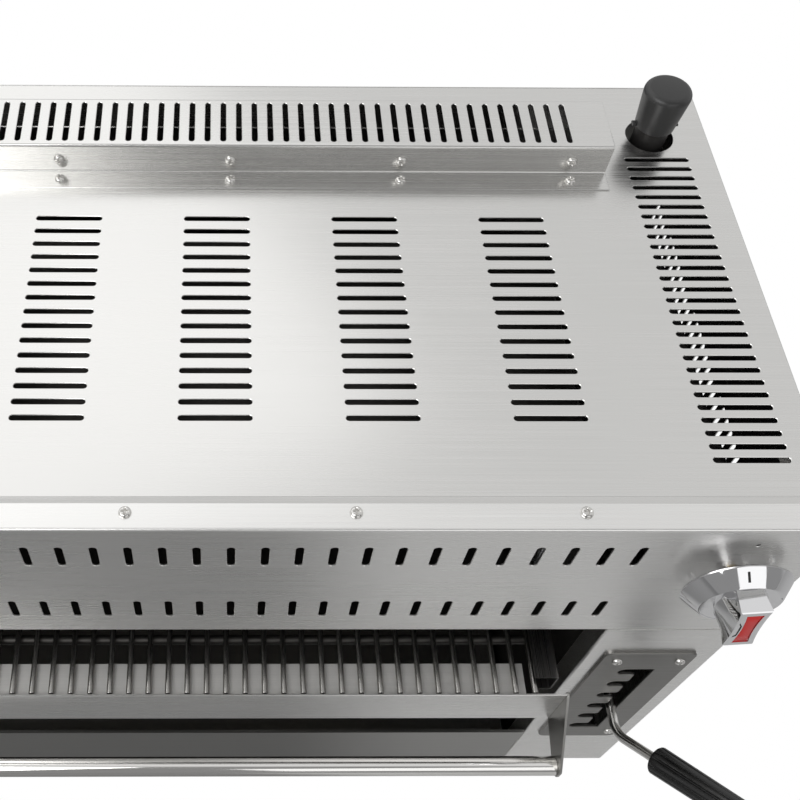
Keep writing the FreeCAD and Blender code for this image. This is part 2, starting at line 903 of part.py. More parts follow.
def right_burner_box():
    """The burner's housing, open below, with a short inlet on its front wall."""
    x0, x1 = burner_sides()
    y0 = front + burner_front_setback
    y1 = y0 + burner_depth
    high = burner_low + burner_height
    shape = box(x0, x1, y0, y1, burner_low, high)
    wall = burner_wall
    shape = shape.cut(box(x0 + wall, x1 - wall, y0 + wall, y1 - wall, burner_low - overrun, high - wall))
    inlet = venturi_place()
    mouth = inlet - V(0, venturi_length, 0)
    shape = shape.fuse(rod(venturi_radius, inlet, mouth))
    return shape.cut(rod(venturi_radius - wall, inlet + V(0, overrun, 0), mouth - V(0, overrun, 0)))


def right_burner_tiles():
    """Three ceramic tiles side by side, each with a sunk field on its glowing face."""
    x0, x1 = burner_sides()
    inner = burner_wall + tile_gap
    pitch = (x1 - x0 - 2 * inner + tile_gap) / tile_count
    y0 = front + burner_front_setback + inner
    y1 = y0 + burner_depth - 2 * inner
    tiles = []
    for i in range(tile_count):
        low = x0 + inner + i * pitch
        high = low + pitch - tile_gap
        tile = box(low, high, y0, y1, burner_low, burner_low + tile_thickness)
        field = 2 * burner_ledge
        tile = tile.cut(
            box(
                low + field,
                high - field,
                y0 + field,
                y1 - field,
                burner_low - overrun,
                burner_low + tile_gap,
            ),
        )
        tiles.append(tile)
    return Part.makeCompound(tiles)


def burner_screens():
    """The wire guards under the two burners, each a flat frame with wires across."""
    screens = []
    x0, x1 = burner_sides()
    y0 = front + burner_front_setback
    y1 = y0 + burner_depth
    thick = 2 * screen_wire_radius
    for low, high in ((-x1, -x0), (x0, x1)):
        frame = box(low, high, y0, y1, ceiling - thick, ceiling)
        inner = (low + burner_ledge, high - burner_ledge, y0 + burner_ledge, y1 - burner_ledge)
        frame = frame.cut(box(*inner, ceiling - thick - overrun, ceiling + overrun))
        wires = []
        z = ceiling - screen_wire_radius
        for offset in spread(screen_wire_count - 1, screen_wire_pitch):
            x = (low + high) / 2 + offset
            wires.append(
                rod(screen_wire_radius, V(x, y0 + burner_ledge / 2, z), V(x, y1 - burner_ledge / 2, z)),
            )
        screens.append(frame.fuse(wires))
    return Part.makeCompound(screens)


def heat_shield():
    """The inverted channel over both burners that keeps their heat off the top."""
    edge = burner_half_gap + burner_width + shield_margin
    start = front + burner_front_setback - shield_margin / 2
    high = burner_low + shield_rise
    corners = [(-edge, burner_low), (-edge, high), (edge, high), (edge, burner_low)]
    return folded(place_on("upright", start), corners, sheet, -1, V(0, burner_depth + shield_margin, 0))


def gas_manifold():
    """The tube behind the fascia that feeds both valves."""
    left = V(-manifold_half_length, manifold_y, knob_z)
    right = V(manifold_half_length, manifold_y, knob_z)
    inset = V(manifold_wall, 0, 0)
    return rod(manifold_radius, left, right).cut(
        rod(manifold_radius - manifold_wall, left + inset, right - inset),
    )


def gas_pipe_points():
    """The gas pipe's centre line: down from above the top, then forward to the manifold."""
    high = V(pipe_x, pipe_y, top + gas_pipe_rise)
    corner = V(pipe_x, pipe_y, knob_z)
    end = V(pipe_x, manifold_y + tee_radius, knob_z)
    return [high, corner, end]


def gas_inlet_pipe():
    points = gas_pipe_points()
    along = (points[-1] - points[1]).normalize() * overrun
    inside = [points[0] + V(0, 0, overrun), points[1], points[2] + along]
    outer = pipe(points, gas_pipe_radius, gas_pipe_bend)
    return outer.cut(pipe(inside, gas_pipe_radius - gas_pipe_wall, gas_pipe_bend))


def pipe_tee():
    """The fitting that joins the gas pipe to the manifold."""
    middle = V(pipe_x, manifold_y, knob_z)
    half = V(tee_length / 2, 0, 0)
    socket = middle + V(0, tee_length, 0)
    branch = rod(tee_branch_radius, middle, socket)
    shape = rod(tee_radius, middle - half, middle + half).fuse(branch)
    reach = V(tee_length, 0, 0)
    shape = shape.cut(rod(manifold_radius + bore_gap, middle - reach, middle + reach))
    seat = V(pipe_x, manifold_y + tee_radius, knob_z)
    shape = shape.cut(rod(gas_pipe_radius + bore_gap, seat, socket + V(0, overrun, 0)))
    shape = shape.cut(rod(manifold_radius - manifold_wall, middle, socket))
    spigot = V(knob_x, manifold_y, knob_z)
    return shape.cut(rod(spigot_radius + bore_gap, spigot - V(0, tee_length, 0), spigot))


def manifold_brackets():
    """A flanged socket on each side panel that carries the manifold's end."""
    wall = half_width - 2 * sheet
    half_depth = bracket_flange_depth / 2
    half_height = bracket_flange_height / 2
    flange = (
        manifold_y - half_depth, manifold_y + half_depth, knob_z - half_height, knob_z + half_height,
    )
    shape = box(wall - bearing_thickness, wall, *flange)
    mouth = V(manifold_half_length - socket_bite, manifold_y, knob_z)
    shape = shape.fuse(rod(socket_radius, mouth, V(wall, manifold_y, knob_z)))
    end = V(manifold_half_length + fit_gap, manifold_y, knob_z)
    shape = shape.cut(rod(manifold_radius + bore_gap, mouth - V(overrun, 0, 0), end))
    return Part.makeCompound([shape, mirrored(shape)])


def right_gas_valve():
    """The valve body in front of the manifold, with a nose that the stem turns in."""
    y0 = front + valve_front_setback
    y1 = manifold_y - tee_radius - fit_gap
    half = valve_width / 2
    shape = box(
        knob_x - half, knob_x + half, y0, y1, knob_z - valve_height / 2, knob_z + valve_height / 2,
    )
    nose = V(knob_x, front + valve_nose_setback, knob_z)
    shape = shape.fuse(rod(valve_nose_radius, nose, V(knob_x, y0, knob_z)))
    inlet = V(knob_x, manifold_y - manifold_radius - bore_gap, knob_z)
    shape = shape.fuse(rod(spigot_radius, V(knob_x, y1, knob_z), inlet))
    return shape.cut(
        rod(stem_radius + bore_gap, nose - V(0, overrun, 0), V(knob_x, y0 + stem_tail + fit_gap, knob_z)),
    )


def right_feed_tube():
    """The gas tube from the valve's side down and back into the burner's inlet."""
    inlet = venturi_place()
    y = front + valve_front_setback + valve_height / 2
    start = V(knob_x - valve_width / 2, y, knob_z)
    points = [
        start, V(inlet.x, y, knob_z), V(inlet.x, y, inlet.z), inlet - V(0, venturi_length - overrun, 0),
    ]
    return pipe(points, feed_radius, feed_bend)


def right_shaft_bearing():
    """The bracket that carries the lift shaft's end, standing on the base."""
    x0 = bearing_x
    x1 = bearing_x + bearing_thickness
    half = bearing_half_width
    high = shaft_z + bearing_head
    shape = box(x0, x1, shaft_y - half, shaft_y + half, sheet, high)
    foot = box(x1, x1 + bearing_foot, shaft_y - half, shaft_y + half, sheet, sheet + bearing_thickness)
    shape = shape.fuse(foot).removeSplitter()
    middle = V(x0 - overrun, shaft_y, shaft_z)
    return shape.cut(rod(shaft_radius + bore_gap, middle, V(x1 + overrun, shaft_y, shaft_z)))


def lift_guides():
    """Four upright channels on the liners' outer faces, round the carriages' front and rear edges."""
    guides = []
    x0 = carriage_x - guide_play
    x1 = carriage_x + carriage_thickness + guide_play
    for setback, way in ((carriage_front, 1), (carriage_rear, -1)):
        edge = front + setback
        web = edge - way * guide_play
        span = (x0 - guide_wall, x1 + guide_wall, web - way * guide_wall, edge + way * guide_bite)
        shape = box(*span, guide_base, guide_base + guide_height)
        inner = (x0, x1, web, edge + way * (guide_bite + overrun))
        shape = shape.cut(box(*inner, guide_base - overrun, guide_base + guide_height + overrun))
        guides += [shape, mirrored(shape)]
    return Part.makeCompound(guides)


def lift_shaft():
    return rod(
        shaft_radius, V(-shaft_half_length, shaft_y, shaft_z), V(shaft_half_length, shaft_y, shaft_z),
    )


def right_lift_arm():
    """The flat arm on the shaft, with the boss that holds it and the pin that lifts the carriage."""
    x1 = arm_x + arm_thickness
    tip = V(arm_x, shaft_y - arm_length, shaft_z)
    half = arm_height / 2
    bar = box(arm_x, x1, shaft_y - arm_length, shaft_y, shaft_z - half, shaft_z + half)
    boss_start = V(arm_x - arm_boss_length / 2, shaft_y, shaft_z)
    boss = rod(arm_boss_radius, boss_start, boss_start + V(arm_boss_length, 0, 0))
    nose = rod(half, tip, tip + V(arm_thickness, 0, 0))
    inner_end = V(carriage_x - 2 * guide_play, tip.y, tip.z)
    pin = rod(arm_pin_radius, inner_end, tip)
    shape = bar.fuse([boss, nose, pin]).removeSplitter()
    reach = V(arm_boss_length, 0, 0)
    return swung(shape.cut(rod(shaft_radius + bore_gap, boss_start - reach, boss_start + 2 * reach)))


def lever_hub():
    """The hub on the shaft with two ears in front that hold the lever's eye."""
    half = hub_length / 2
    shape = rod(hub_radius, V(lever_x - half, shaft_y, shaft_z), V(lever_x + half, shaft_y, shaft_z))
    gap = eye_height / 2 + fit_gap
    ear_top = gap + clevis_ear
    front_end = shaft_y - pivot_reach - clevis_half_width
    x0 = lever_x - clevis_half_width
    x1 = lever_x + clevis_half_width
    shape = shape.fuse(box(x0, x1, front_end, shaft_y, shaft_z - ear_top, shaft_z + ear_top))
    slot_end = shaft_y - pivot_reach + eye_radius + bend
    shape = shape.cut(
        box(x0 - overrun, x1 + overrun, front_end - overrun, slot_end, shaft_z - gap, shaft_z + gap),
    )
    pin_y0 = shaft_y - pivot_reach
    reach = ear_top + overrun
    shape = shape.cut(
        rod(
            pivot_pin_radius + bore_gap,
            V(lever_x, pin_y0, shaft_z - reach),
            V(lever_x, pin_y0, shaft_z + reach),
        ),
    )
    reach = hub_length
    bore = rod(
        shaft_radius + bore_gap,
        V(lever_x - reach, shaft_y, shaft_z),
        V(lever_x + reach, shaft_y, shaft_z),
    )
    return swung(shape.cut(bore))


def pivot_pin():
    """The riveted pin that the lever turns on sideways."""
    y = shaft_y - pivot_reach
    ear_top = eye_height / 2 + fit_gap + clevis_ear
    shape = rod(pivot_pin_radius, V(lever_x, y, shaft_z - ear_top), V(lever_x, y, shaft_z + ear_top))
    for way in (-1, 1):
        base = V(lever_x, y, shaft_z + way * ear_top)
        shape = shape.fuse(rod(pivot_pin_radius + bend, base, base + V(0, 0, way * bend)))
    return swung(shape.removeSplitter())


def lever_way():
    """The straight lever's direction at rest, from the shaft towards the front."""
    tilt = math.radians(rest_angle)
    return V(0, -math.cos(tilt), -math.sin(tilt))


def lever_corner():
    """Where the lever's two straight stretches would meet, in front of the notch plate."""
    return V(lever_x, shaft_y, shaft_z) + lever_way() * (shaft_setback + lever_forward)


def grip_way():
    return V(grip_across, -grip_forward, grip_rise).normalize()


def lever_rod():
    """The lever's steel rod: eye at the pivot, straight through the notch plate, then bent to the grip."""
    axle = V(lever_x, shaft_y, shaft_z)
    start = axle + lever_way() * (pivot_reach + eye_radius - bend)
    corner = lever_corner()
    end = corner + grip_way() * (grip_start + rod_seat)
    bar = pipe([start, corner, end], lever_radius, lever_bend)
    y = shaft_y - pivot_reach
    half = eye_height / 2
    eye = rod(eye_radius, V(lever_x, y, shaft_z - half), V(lever_x, y, shaft_z + half))
    hole = rod(
        pivot_pin_radius + bore_gap,
        V(lever_x, y, shaft_z - eye_height),
        V(lever_x, y, shaft_z + eye_height),
    )
    return bar.fuse(swung(eye)).cut(swung(hole))


def lever_grip():
    """The fluted handle: a tapered round bar with rounded flutes along it and a blind hole for the rod."""
    cone = Part.makeCone(grip_radius, grip_tip_radius, grip_length)
    rims = [e for e in cone.Edges if e.Closed]
    shape = cone.makeFillet(grip_end_round, rims)
    flutes = []
    for i in range(grip_flutes):
        turn = math.radians(360 * i / grip_flutes)
        low = V(math.cos(turn), math.sin(turn), 0) * (grip_radius + grip_flute_radius / 2)
        high = V(math.cos(turn), math.sin(turn), 0) * (grip_tip_radius + grip_flute_radius / 2)
        flutes.append(
            rod(grip_flute_radius, low - V(0, 0, overrun), high + V(0, 0, grip_length + overrun)),
        )
    shape = shape.cut(Part.makeCompound(flutes))
    shape = shape.cut(
        Part.makeCylinder(lever_radius + bore_gap, rod_seat + overrun + fit_gap, V(0, 0, -overrun)),
    )
    return pointed(shape, lever_corner() + grip_way() * grip_start, grip_way())


def right_carriage():
    """The lift's side plate: a slot for the arm's pin, and two tabs through the liner to the runner."""
    side = place_on("sideways", carriage_x)
    low = pin_z - carriage_skirt
    wires = [rectangle(side, front + carriage_front, front + carriage_rear, low, runner_top, bend)]
    wires.append(
        slot(
            side,
            pin_y + slot_run / 2,
            pin_z,
            2 * (arm_pin_radius + slot_run),
            2 * (arm_pin_radius + slot_play),
            "u",
        ),
    )
    shape = flat(wires, V(carriage_thickness, 0, 0))
    half = bracket_depth / 2
    tabs = []
    for setback in (bracket_front_setback, bracket_rear_setback):
        y = front + setback
        z0 = bracket_z - bracket_height / 2
        tabs.append(box(runner_outer, carriage_x, y - half, y + half, z0, z0 + bracket_height))
    return shape.fuse(tabs)


def right_runner():
    """The channel that the rack's side rod slides in, open towards the middle."""
    section = place_on("upright", front + runner_front_setback)
    corners = [
        (runner_outer - runner_lip, runner_bottom),
        (runner_outer, runner_bottom),
        (runner_outer, runner_top),
        (runner_inner, runner_top),
    ]
    return folded(section, corners, runner_wall, 1, V(0, runner_rear_setback - runner_front_setback, 0))


def rear_cross_bar():
    """The bar under the runners' rear ends that keeps them apart."""
    y = front + cross_bar_setback
    z = runner_bottom - cross_bar_radius
    return rod(cross_bar_radius, V(-runner_outer, y, z), V(runner_outer, y, z))


def grill_rack():
    """The rack: round bars from front to back on a round rod frame."""
    front_y = front + frame_front_setback
    rear_y = front + frame_rear_setback
    corners = [
        (-frame_rod_x, front_y), (frame_rod_x, front_y), (frame_rod_x, rear_y), (-frame_rod_x, rear_y),
    ]
    level = place_on("level", frame_z)
    path = outline(level, corners, [frame_corner] * 4)
    start = level(-frame_rod_x, front_y + frame_corner)
    section = Part.Wire(Part.Circle(start, Y_AXIS, frame_rod_radius).toShape())
    loop = path.makePipeShell([section], True, False)
    bars = []
    for x in spread(2 * bar_half_count + 1, bar_pitch):
        z = bar_z - bar_sink
        bars.append(
            rod(bar_radius, V(x, front + bar_front_setback, z), V(x, front + bar_rear_setback, z)),
        )
    return loop.fuse(bars)


def rack_apron():
    """The rack's front sheet, with a shelf behind it that the bars stand on."""
    edge = rack_half_width - end_bracket_thickness
    face = front + apron_setback
    high = rack_top + apron_rise
    section = place_on("sideways", -edge)
    corners = [(face + apron_hem, high - apron_height), (face, high - apron_height), (face, high)]
    shape = folded(section, corners, apron_thickness, -1, V(2 * edge, 0, 0))
    shelf_edge = runner_inner - apron_shelf_gap
    shelf_top = bar_z - bar_sink - bar_radius
    shelf = box(
        -shelf_edge,
        shelf_edge,
        face + apron_thickness / 2,
        face + apron_flange,
        shelf_top - apron_thickness,
        shelf_top,
    )
    return shape.fuse(shelf).removeSplitter()


def right_end_bracket():
    """The sheet end plate that carries the handle tube in front of the apron."""
    x0 = rack_half_width - end_bracket_thickness
    side = place_on("sideways", x0)
    face = front + apron_setback
    tube_y = front + handle_setback
    high = rack_top + apron_rise
    nose = handle_radius + handle_nose
    corners = [
        (face + end_bracket_depth, high),
        (face + end_bracket_depth, high - apron_height),
        (tube_y, handle_z - nose),
        (tube_y - nose, handle_z - nose),
        (tube_y - nose, handle_z + nose),
        (face, high),
    ]
    radii = [0, nose, 0, nose, nose / 2, end_bracket_round]
    return flat([outline(side, corners, radii)], V(end_bracket_thickness, 0, 0))


def handle_tube():
    edge = rack_half_width - end_bracket_thickness
    y = front + handle_setback
    left = V(-edge, y, handle_z)
    right = V(edge, y, handle_z)
    inset = V(handle_wall, 0, 0)
    return rod(handle_radius, left, right).cut(
        rod(handle_radius - handle_wall, left + inset, right - inset),
    )


def drip_tray():
    """The tray on the base: a low pan behind a full-width front with a hem along its top."""
    face = front + tray_front_setback
    inner_face = face + tray_sheet
    high = tray_low + tray_height
    shape = box(-tray_half_width, tray_half_width, face, inner_face, tray_low, high)
    hem = box(
        -tray_half_width,
        tray_half_width,
        face - tray_hem_proud,
        inner_face,
        high - tray_hem_height,
        high,
    )
    edge = tray_half_width - tray_wall_inset
    rear = face + tray_depth
    rim = tray_low + tray_wall_height
    pan = box(-edge, edge, face, rear, tray_low, rim)
    wall = tray_sheet
    pan = pan.cut(
        box(-edge + wall, edge - wall, face + wall, rear - wall, tray_low + wall, rim + overrun),
    )
    return shape.fuse([hem, pan]).removeSplitter()


def pipe_cap():
    """The plastic cap over the gas pipe's thread: a hollow taper with a domed top and moulding tabs."""
    low = top + cap_low
    high = top + cap_high
    profile = [
        V(0, 0, high + cap_dome),
        V(cap_high_radius, 0, high),
        V(cap_low_radius, 0, low),
        V(gas_pipe_radius + fit_gap, 0, low),
        V(gas_pipe_radius + fit_gap, 0, top + gas_pipe_rise + fit_gap),
        V(0, 0, top + gas_pipe_rise + fit_gap),
    ]
    middle = V(cap_high_radius * dome_middle_share, 0, high + cap_dome * dome_height_share)
    edges = [Part.Arc(profile[0], middle, profile[1]).toShape()]
    for i in range(1, len(profile)):
        edges.append(Part.LineSegment(profile[i], profile[(i + 1) % len(profile)]).toShape())
    shape = Part.Face(Part.Wire(edges)).revolve(V(0, 0, 0), Z_AXIS, 360)
    half = cap_ear_width / 2
    reach = cap_low_radius + cap_ear
    inner = gas_pipe_radius + 2 * fit_gap
    for way in (-1, 1):
        shape = shape.fuse(box(way * inner, way * reach, -half, half, low, low + cap_ear))
    shape.translate(V(pipe_x, pipe_y, 0))
    return shape


def bar_outline(place, half_height, half_width_end, half_width_waist):
    """An outline narrower or wider at its waist than at its ends, leaning by the knob's rest turn."""
    corners = [
        (-half_width_end, half_height),
        (half_width_end, half_height),
        (half_width_waist, 0),
        (half_width_end, -half_height),
        (-half_width_end, -half_height),
        (-half_width_waist, 0),
    ]
    cosine = math.cos(math.radians(knob_rest_turn))
    sine = math.sin(math.radians(knob_rest_turn))
    turned = [(knob_x + u * cosine - v * sine, knob_z + u * sine + v * cosine) for u, v in corners]
    return outline(place, turned, [0] * len(turned))


def right_knob():
    """The control knob: a hollow skirt, a flat face and a grip bar with a sunk window."""
    axis = V(knob_x, front, knob_z)
    rim_y = skirt_back + skirt_rim
    face_y = skirt_back + skirt_depth
    way = -Y_AXIS
    skirt = Part.makeCylinder(skirt_radius, skirt_rim, axis + way * skirt_back, way)
    skirt = skirt.fuse(Part.makeCone(skirt_radius, face_radius, face_y - rim_y, axis + way * rim_y, way))
    hollow = Part.makeCone(
        skirt_radius - skirt_wall,
        face_radius - skirt_wall,
        skirt_depth - skirt_wall,
        axis + way * skirt_back,
        way,
    )
    shape = skirt.removeSplitter().cut(hollow)
    shape = shape.fuse(rod(knob_hub_radius, axis + way * hub_stand, axis + way * face_y))
    root = bar_outline(
        place_on("upright", front - face_y + seam),
        grip_root_half_height,
        grip_root_half_width,
        grip_root_waist,
    )
    face = bar_outline(
        place_on("upright", front - face_y - grip_bar_depth),
        grip_bar_half_height,
        grip_bar_half_width,
        grip_waist_half_width,
    )
    shape = shape.fuse(Part.makeLoft([root, face], True, True))
    shape = shape.cut(
        rod(stem_radius + bore_gap, axis - way * overrun, axis + way * (hub_stand + stem_seat)),
    )
    return shape.cut(knob_window(insert_depth))


def knob_window(depth):
    """The window in the grip bar's front, to that depth."""
    face_y = front - skirt_back - skirt_depth - grip_bar_depth
    window = bar_outline(place_on("upright", face_y), insert_half_height, insert_half_width, insert_waist)
    return Part.Face(window).extrude(V(0, depth, 0))


def right_knob_insert():
    return knob_window(insert_depth)


def right_valve_stem():
    """The stem that the knob turns, from the knob's hub into the valve's nose."""
    outer = front - hub_stand - stem_seat + fit_gap
    inner = front + valve_front_setback + stem_tail
    return rod(stem_radius, V(knob_x, outer, knob_z), V(knob_x, inner, knob_z))


single = {
    "top_panel": top_panel,
    "front_fascia": front_fascia,
    "fascia_screws": fascia_screws,
    "back_panel": back_panel,
    "base_panel": base_panel,
    "notch_plate": notch_plate,
    "notch_plate_screws": notch_plate_screws,
    "flue_cover": flue_cover,
    "flue_cover_screws": flue_cover_screws,
    "flue_angle": flue_angle,
    "back_liner": back_liner,
    "ceiling_panel": ceiling_panel,
    "burner_screens": burner_screens,
    "heat_shield": heat_shield,
    "gas_manifold": gas_manifold,
    "gas_inlet_pipe": gas_inlet_pipe,
    "pipe_tee": pipe_tee,
    "manifold_brackets": manifold_brackets,
    "lift_guides": lift_guides,
    "lift_shaft": lift_shaft,
    "lever_hub": lever_hub,
    "pivot_pin": pivot_pin,
    "lever_rod": lever_rod,
    "lever_grip": lever_grip,
    "rear_cross_bar": rear_cross_bar,
    "grill_rack": grill_rack,
    "rack_apron": rack_apron,
    "handle_tube": handle_tube,
    "drip_tray": drip_tray,
    "pipe_cap": pipe_cap,
}
paired = {
    "side_panel": right_side_panel,
    "liner": right_liner,
    "burner_box": right_burner_box,
    "burner_tiles": right_burner_tiles,
    "gas_valve": right_gas_valve,
    "feed_tube": right_feed_tube,
    "shaft_bearing": right_shaft_bearing,
    "lift_arm": right_lift_arm,
    "carriage": right_carriage,
    "runner": right_runner,
    "end_bracket": right_end_bracket,
    "valve_stem": right_valve_stem,
}
same_hand = {
    "knob": right_knob,
    "knob_insert": right_knob_insert,
}


def build():
    """Every node's shape by name."""
    shapes = {name: make() for name, make in single.items()}
    for name, make in paired.items():
        shapes["right_" + name] = make()
        shapes["left_" + name] = mirrored(shapes["right_" + name])
    for name, make in same_hand.items():
        shapes["right_" + name] = make()
        shapes["left_" + name] = shapes["right_" + name].translated(V(-2 * knob_x, 0, 0))
    shapes["right_front_column"] = right_front_column()
    shapes["left_front_column"] = mirrored(plain_column())
    return shapes


os.makedirs("parts", exist_ok=True)
for node, shape in build().items():
    shape.exportStep("parts/" + node + ".step")
    print(
        node,
        len(shape.Solids),
        "solids",
        "valid" if shape.isValid() else "NOT VALID",
        round(shape.Volume),
    )
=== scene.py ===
"""Looks of the gas-fired cheese melter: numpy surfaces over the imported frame, and its finishes.

Sizes are in millimetres in the frame of the part: origin at the centre of the underside, +X to the
right, +Y to the back, +Z up. Meshes are written in metres.
"""
import math

import bmesh
import bpy
import numpy as np
from mathutils import Matrix, Vector
from mathutils.geometry import delaunay_2d_cdt


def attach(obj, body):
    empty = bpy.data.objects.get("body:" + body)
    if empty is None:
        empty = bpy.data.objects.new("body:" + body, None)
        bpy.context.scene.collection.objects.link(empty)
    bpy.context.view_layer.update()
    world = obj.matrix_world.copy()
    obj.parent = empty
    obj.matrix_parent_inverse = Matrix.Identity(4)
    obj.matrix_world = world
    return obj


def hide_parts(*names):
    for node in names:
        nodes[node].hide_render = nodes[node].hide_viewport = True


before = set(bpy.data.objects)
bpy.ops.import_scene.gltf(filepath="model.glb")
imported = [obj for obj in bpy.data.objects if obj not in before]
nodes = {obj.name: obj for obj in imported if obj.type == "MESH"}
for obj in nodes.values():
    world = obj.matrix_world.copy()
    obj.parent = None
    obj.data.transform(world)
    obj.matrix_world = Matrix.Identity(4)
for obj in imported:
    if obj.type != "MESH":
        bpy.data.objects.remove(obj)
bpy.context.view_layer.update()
METRES = 0.001

# Tolerances: two in metres for finished meshes, one in millimetres, and a share of a direction
weld_reach, thin_edge = 1e-6, 1e-7
same_place = 1e-7
upright_share = 0.9

# Overall sizes
half_width = 457.0
front = -210.0
back = 210.0
top = 525.0
sheet = 1.2
bend = 1.0
seam = 0.4
rim = 0.35
fine = 0.15

# Top panel
lip = 19.7
joggle = 4.2
top_flange = 15.0
group_pitch, group_count = 112.84, 6
top_slot = (50.2, 4.3)
top_rows, top_first, top_pitch = 15, 84.15, 181.45 / 14
side_slot = (51.5, 4.2)
side_rows, side_first, side_pitch = 28, 51.8, 280.0 / 27
side_slot_x = 409.0
pipe_x, pipe_y = 409.5, front + 360.0
pipe_hole = 19.2
flue_opening = (345.0, front + 322.5, front + 367.2)

# Fascia
fascia_bottom = top - 166.3
fascia_return = 15.0
fascia_slot = (27.5, 5.4)
fascia_slots, fascia_pitch = 31, 22.38
fascia_rows = (top - 38.0, top - 125.0)
lip_screw_y = front + 12.7
lip_screws, lip_screw_pitch = 5, 146.35
screw_hole = 2.2
knob_x, knob_z = 407.5, top - 64.0
stem_hole = 6.0
dot_z, dot_radius, dot_depth = top - 21.0, 1.6, 0.5
column_return = 12.0

# Flue cover
flue_half = 364.0
flue_y, flue_rear = front + 315.5, front + 369.0
flue_height, flue_flange = 28.0, 18.7
flue_slot = (44.0, 4.3)
flue_slots, flue_pitch = 55, 660.0 / 54
flue_screws, flue_screw_pitch = 6, 133.8
flue_screw_z = top + 13.0
flue_screw_y = flue_y - 9.2

# Side panels
vent = (50.0, 4.3)
vents, vent_first, vent_pitch = 31, front + 58.0, 10.6
vent_z = top - 118.0

# Notch plate and lever
plate_left, plate_right = 367.0, 441.0
plate_top, plate_height, plate_thickness = top - 211.0, 224.0, 2.5
plate_corner, plate_rim = 6.5, 0.6
plate_screws = [(x, z) for x in (380.0, 431.0) for z in (top - 418.5, top - 227.5)]
notches, notch_pitch, notch_height = 6, 29.4, 13.0
notch_tip, finger_end, channel = 389.2, 405.3, 12.3
highest_notch = top - 253.6
lowest_notch = highest_notch - (notches - 1) * notch_pitch
finger_corner, channel_corner = 2.5, 1.5
notch_round_share = 0.97
shaft_reach = 350.0
shaft_y = front + shaft_reach
shaft_z = (highest_notch + lowest_notch) / 2
rest_z = highest_notch - 3 * notch_pitch
rest_angle = math.atan((shaft_z - rest_z) / shaft_reach)
lever_radius, lever_bend = 4.25, 22.0
lever_x = finger_end + lever_radius + seam
pivot_reach, corner_reach = 26.0, 377.5
eye_bore, eye_radius, eye_half, eye_chamfer = 3.05, 8.0, 5.0, 0.4
rod_start, rod_in_grip = 7.0, 60.0
grip_run = (50.0, -69.0, 57.3)
grip_way = np.array(grip_run) / np.linalg.norm(grip_run)
grip_start, grip_length = 44.0, 112.0
grip_radius, grip_tip_radius = 12.6, 10.8
grip_round, grip_fade = 2.0, 6.0
grip_flutes, flute_half_width, flute_depth = 12, 1.0, 1.0

# Rack
rack_top = top - 255.0
bar_radius, bar_pitch, bars = 2.5, 15.94, 41
bar_y = (front - 19.5, front + 312.0)
bar_sink = 0.4
frame_rod = 4.0
frame_x = 327.0
frame_y = (front + 30.0, front + 306.0)
frame_corner = 9.0
rack_half = 345.0
bracket = 2.0
apron_y = front - 22.5
apron_height, apron_thickness, apron_hem = 62.0, 1.5, 8.0
apron_shelf, shelf_half = 30.0, 312.0
apron_top = rack_top + 3.0
handle_radius, tube_round_share = 8.0, 0.1
handle_y, handle_z = front - 62.0, top - 316.5
bracket_nose = handle_radius + 1.0
bracket_depth, bracket_round = 3.0, 4.0

# Gas pipe's cap
pipe_radius, pipe_rise = 13.35, 30.0
pipe_gap = 0.3
cap_low, cap_high, cap_dome = 12.0, 44.0, 5.0
cap_low_radius, cap_high_radius, cap_chamfer = 15.6, 18.6, 0.5
cap_flat, cap_crown, cap_round, cap_shoulder, dome_share = 7.0, 0.2, 5.0, 1.0, 0.9
tab_inner, tab_outer, tab_half, tab_rise, tab_thickness, tab_rim = 15.0, 18.4, 2.5, 2.0, 2.0, 0.4

# Knob
skirt_back, skirt_rim, skirt_depth = 9.5, 2.5, 13.0
skirt_radius, face_radius = 36.0, 27.0
skirt_round, skirt_turn, skirt_lip, skirt_edge, skirt_hollow = 0.6, 0.8, 1.8, 2.5, 3.0
face_round, face_drop, face_flat, face_step, face_sink = 0.5, 0.7, 1.2, 1.6, 0.3
sleeve_radius, sleeve_start, sleeve_end = 8.5, 3.0, 4.0
bar_depth, bar_rim, bar_root = 17.5, 0.8, 0.6
level_shares = (0.0, 0.04, 0.5, 0.93, 1.0)
root_sizes = (25.5, 8.0, 17.0)
tip_sizes = (28.5, 10.0, 7.8)
window_sizes = (23.0, 5.4, 4.0)
knob_turn = math.radians(10.0)
window_depth, window_gap, window_lift = 1.2, 0.15, 0.1
bulge_shares = (1.0, 0.96, 0.5, 0.03)
bulge_heights = (0.0, 0.35, 0.7, 0.75)
groove_half_length, groove_half_width, groove_drop = 3.6, 0.8, 6.0
groove_heights = (-0.3, 0.12)

# Screws
head_radius, head_height = 4.3, 2.6
recess_half, recess_width, recess_depth = 2.3, 0.9, 1.3
recess_side_blur, recess_end_blur = 0.09, 0.16

# Camera in millimetres, degrees and pixels, lamps in metres and watts, and ground in metres
camera_place = (64.67, -506.16, 1111.75)
camera_pitch, camera_yaw, camera_roll = 56.5837, 1.1077, -1.0167
picture_width, focal_pixels = 800.0, 1044.51
camera_shift = (0.2018, 0.0117)
sensor = 36.0
lamps = (
    ("key", (-1.4, 1.45, 2.2), (-1.35, 1.35, 0.0), (3.1, 2.6), 13.5),
    ("fill", (0.9, -1.6, 1.2), (0.2, 0.0, 0.3), (1.4, 1.0), 4.0),
    ("front_left", (-1.35, -1.25, 2.0), (-0.5, 0.1, 0.5), (2.0, 1.6), 30.0),
)
ambient_strength = 0.45
room_span, room_strengths = (-0.42, -0.12), (0.35, 1.0)
ground_reach, ground_roughness, ground_mirror_share = 6.0, 0.9, 0.1
ground_span, ground_tones = (0.10, 0.30), (0.17, 0.55)


def spread(count, pitch):
    """Evenly spaced places about zero."""
    return (np.arange(count) - (count - 1) / 2) * pitch


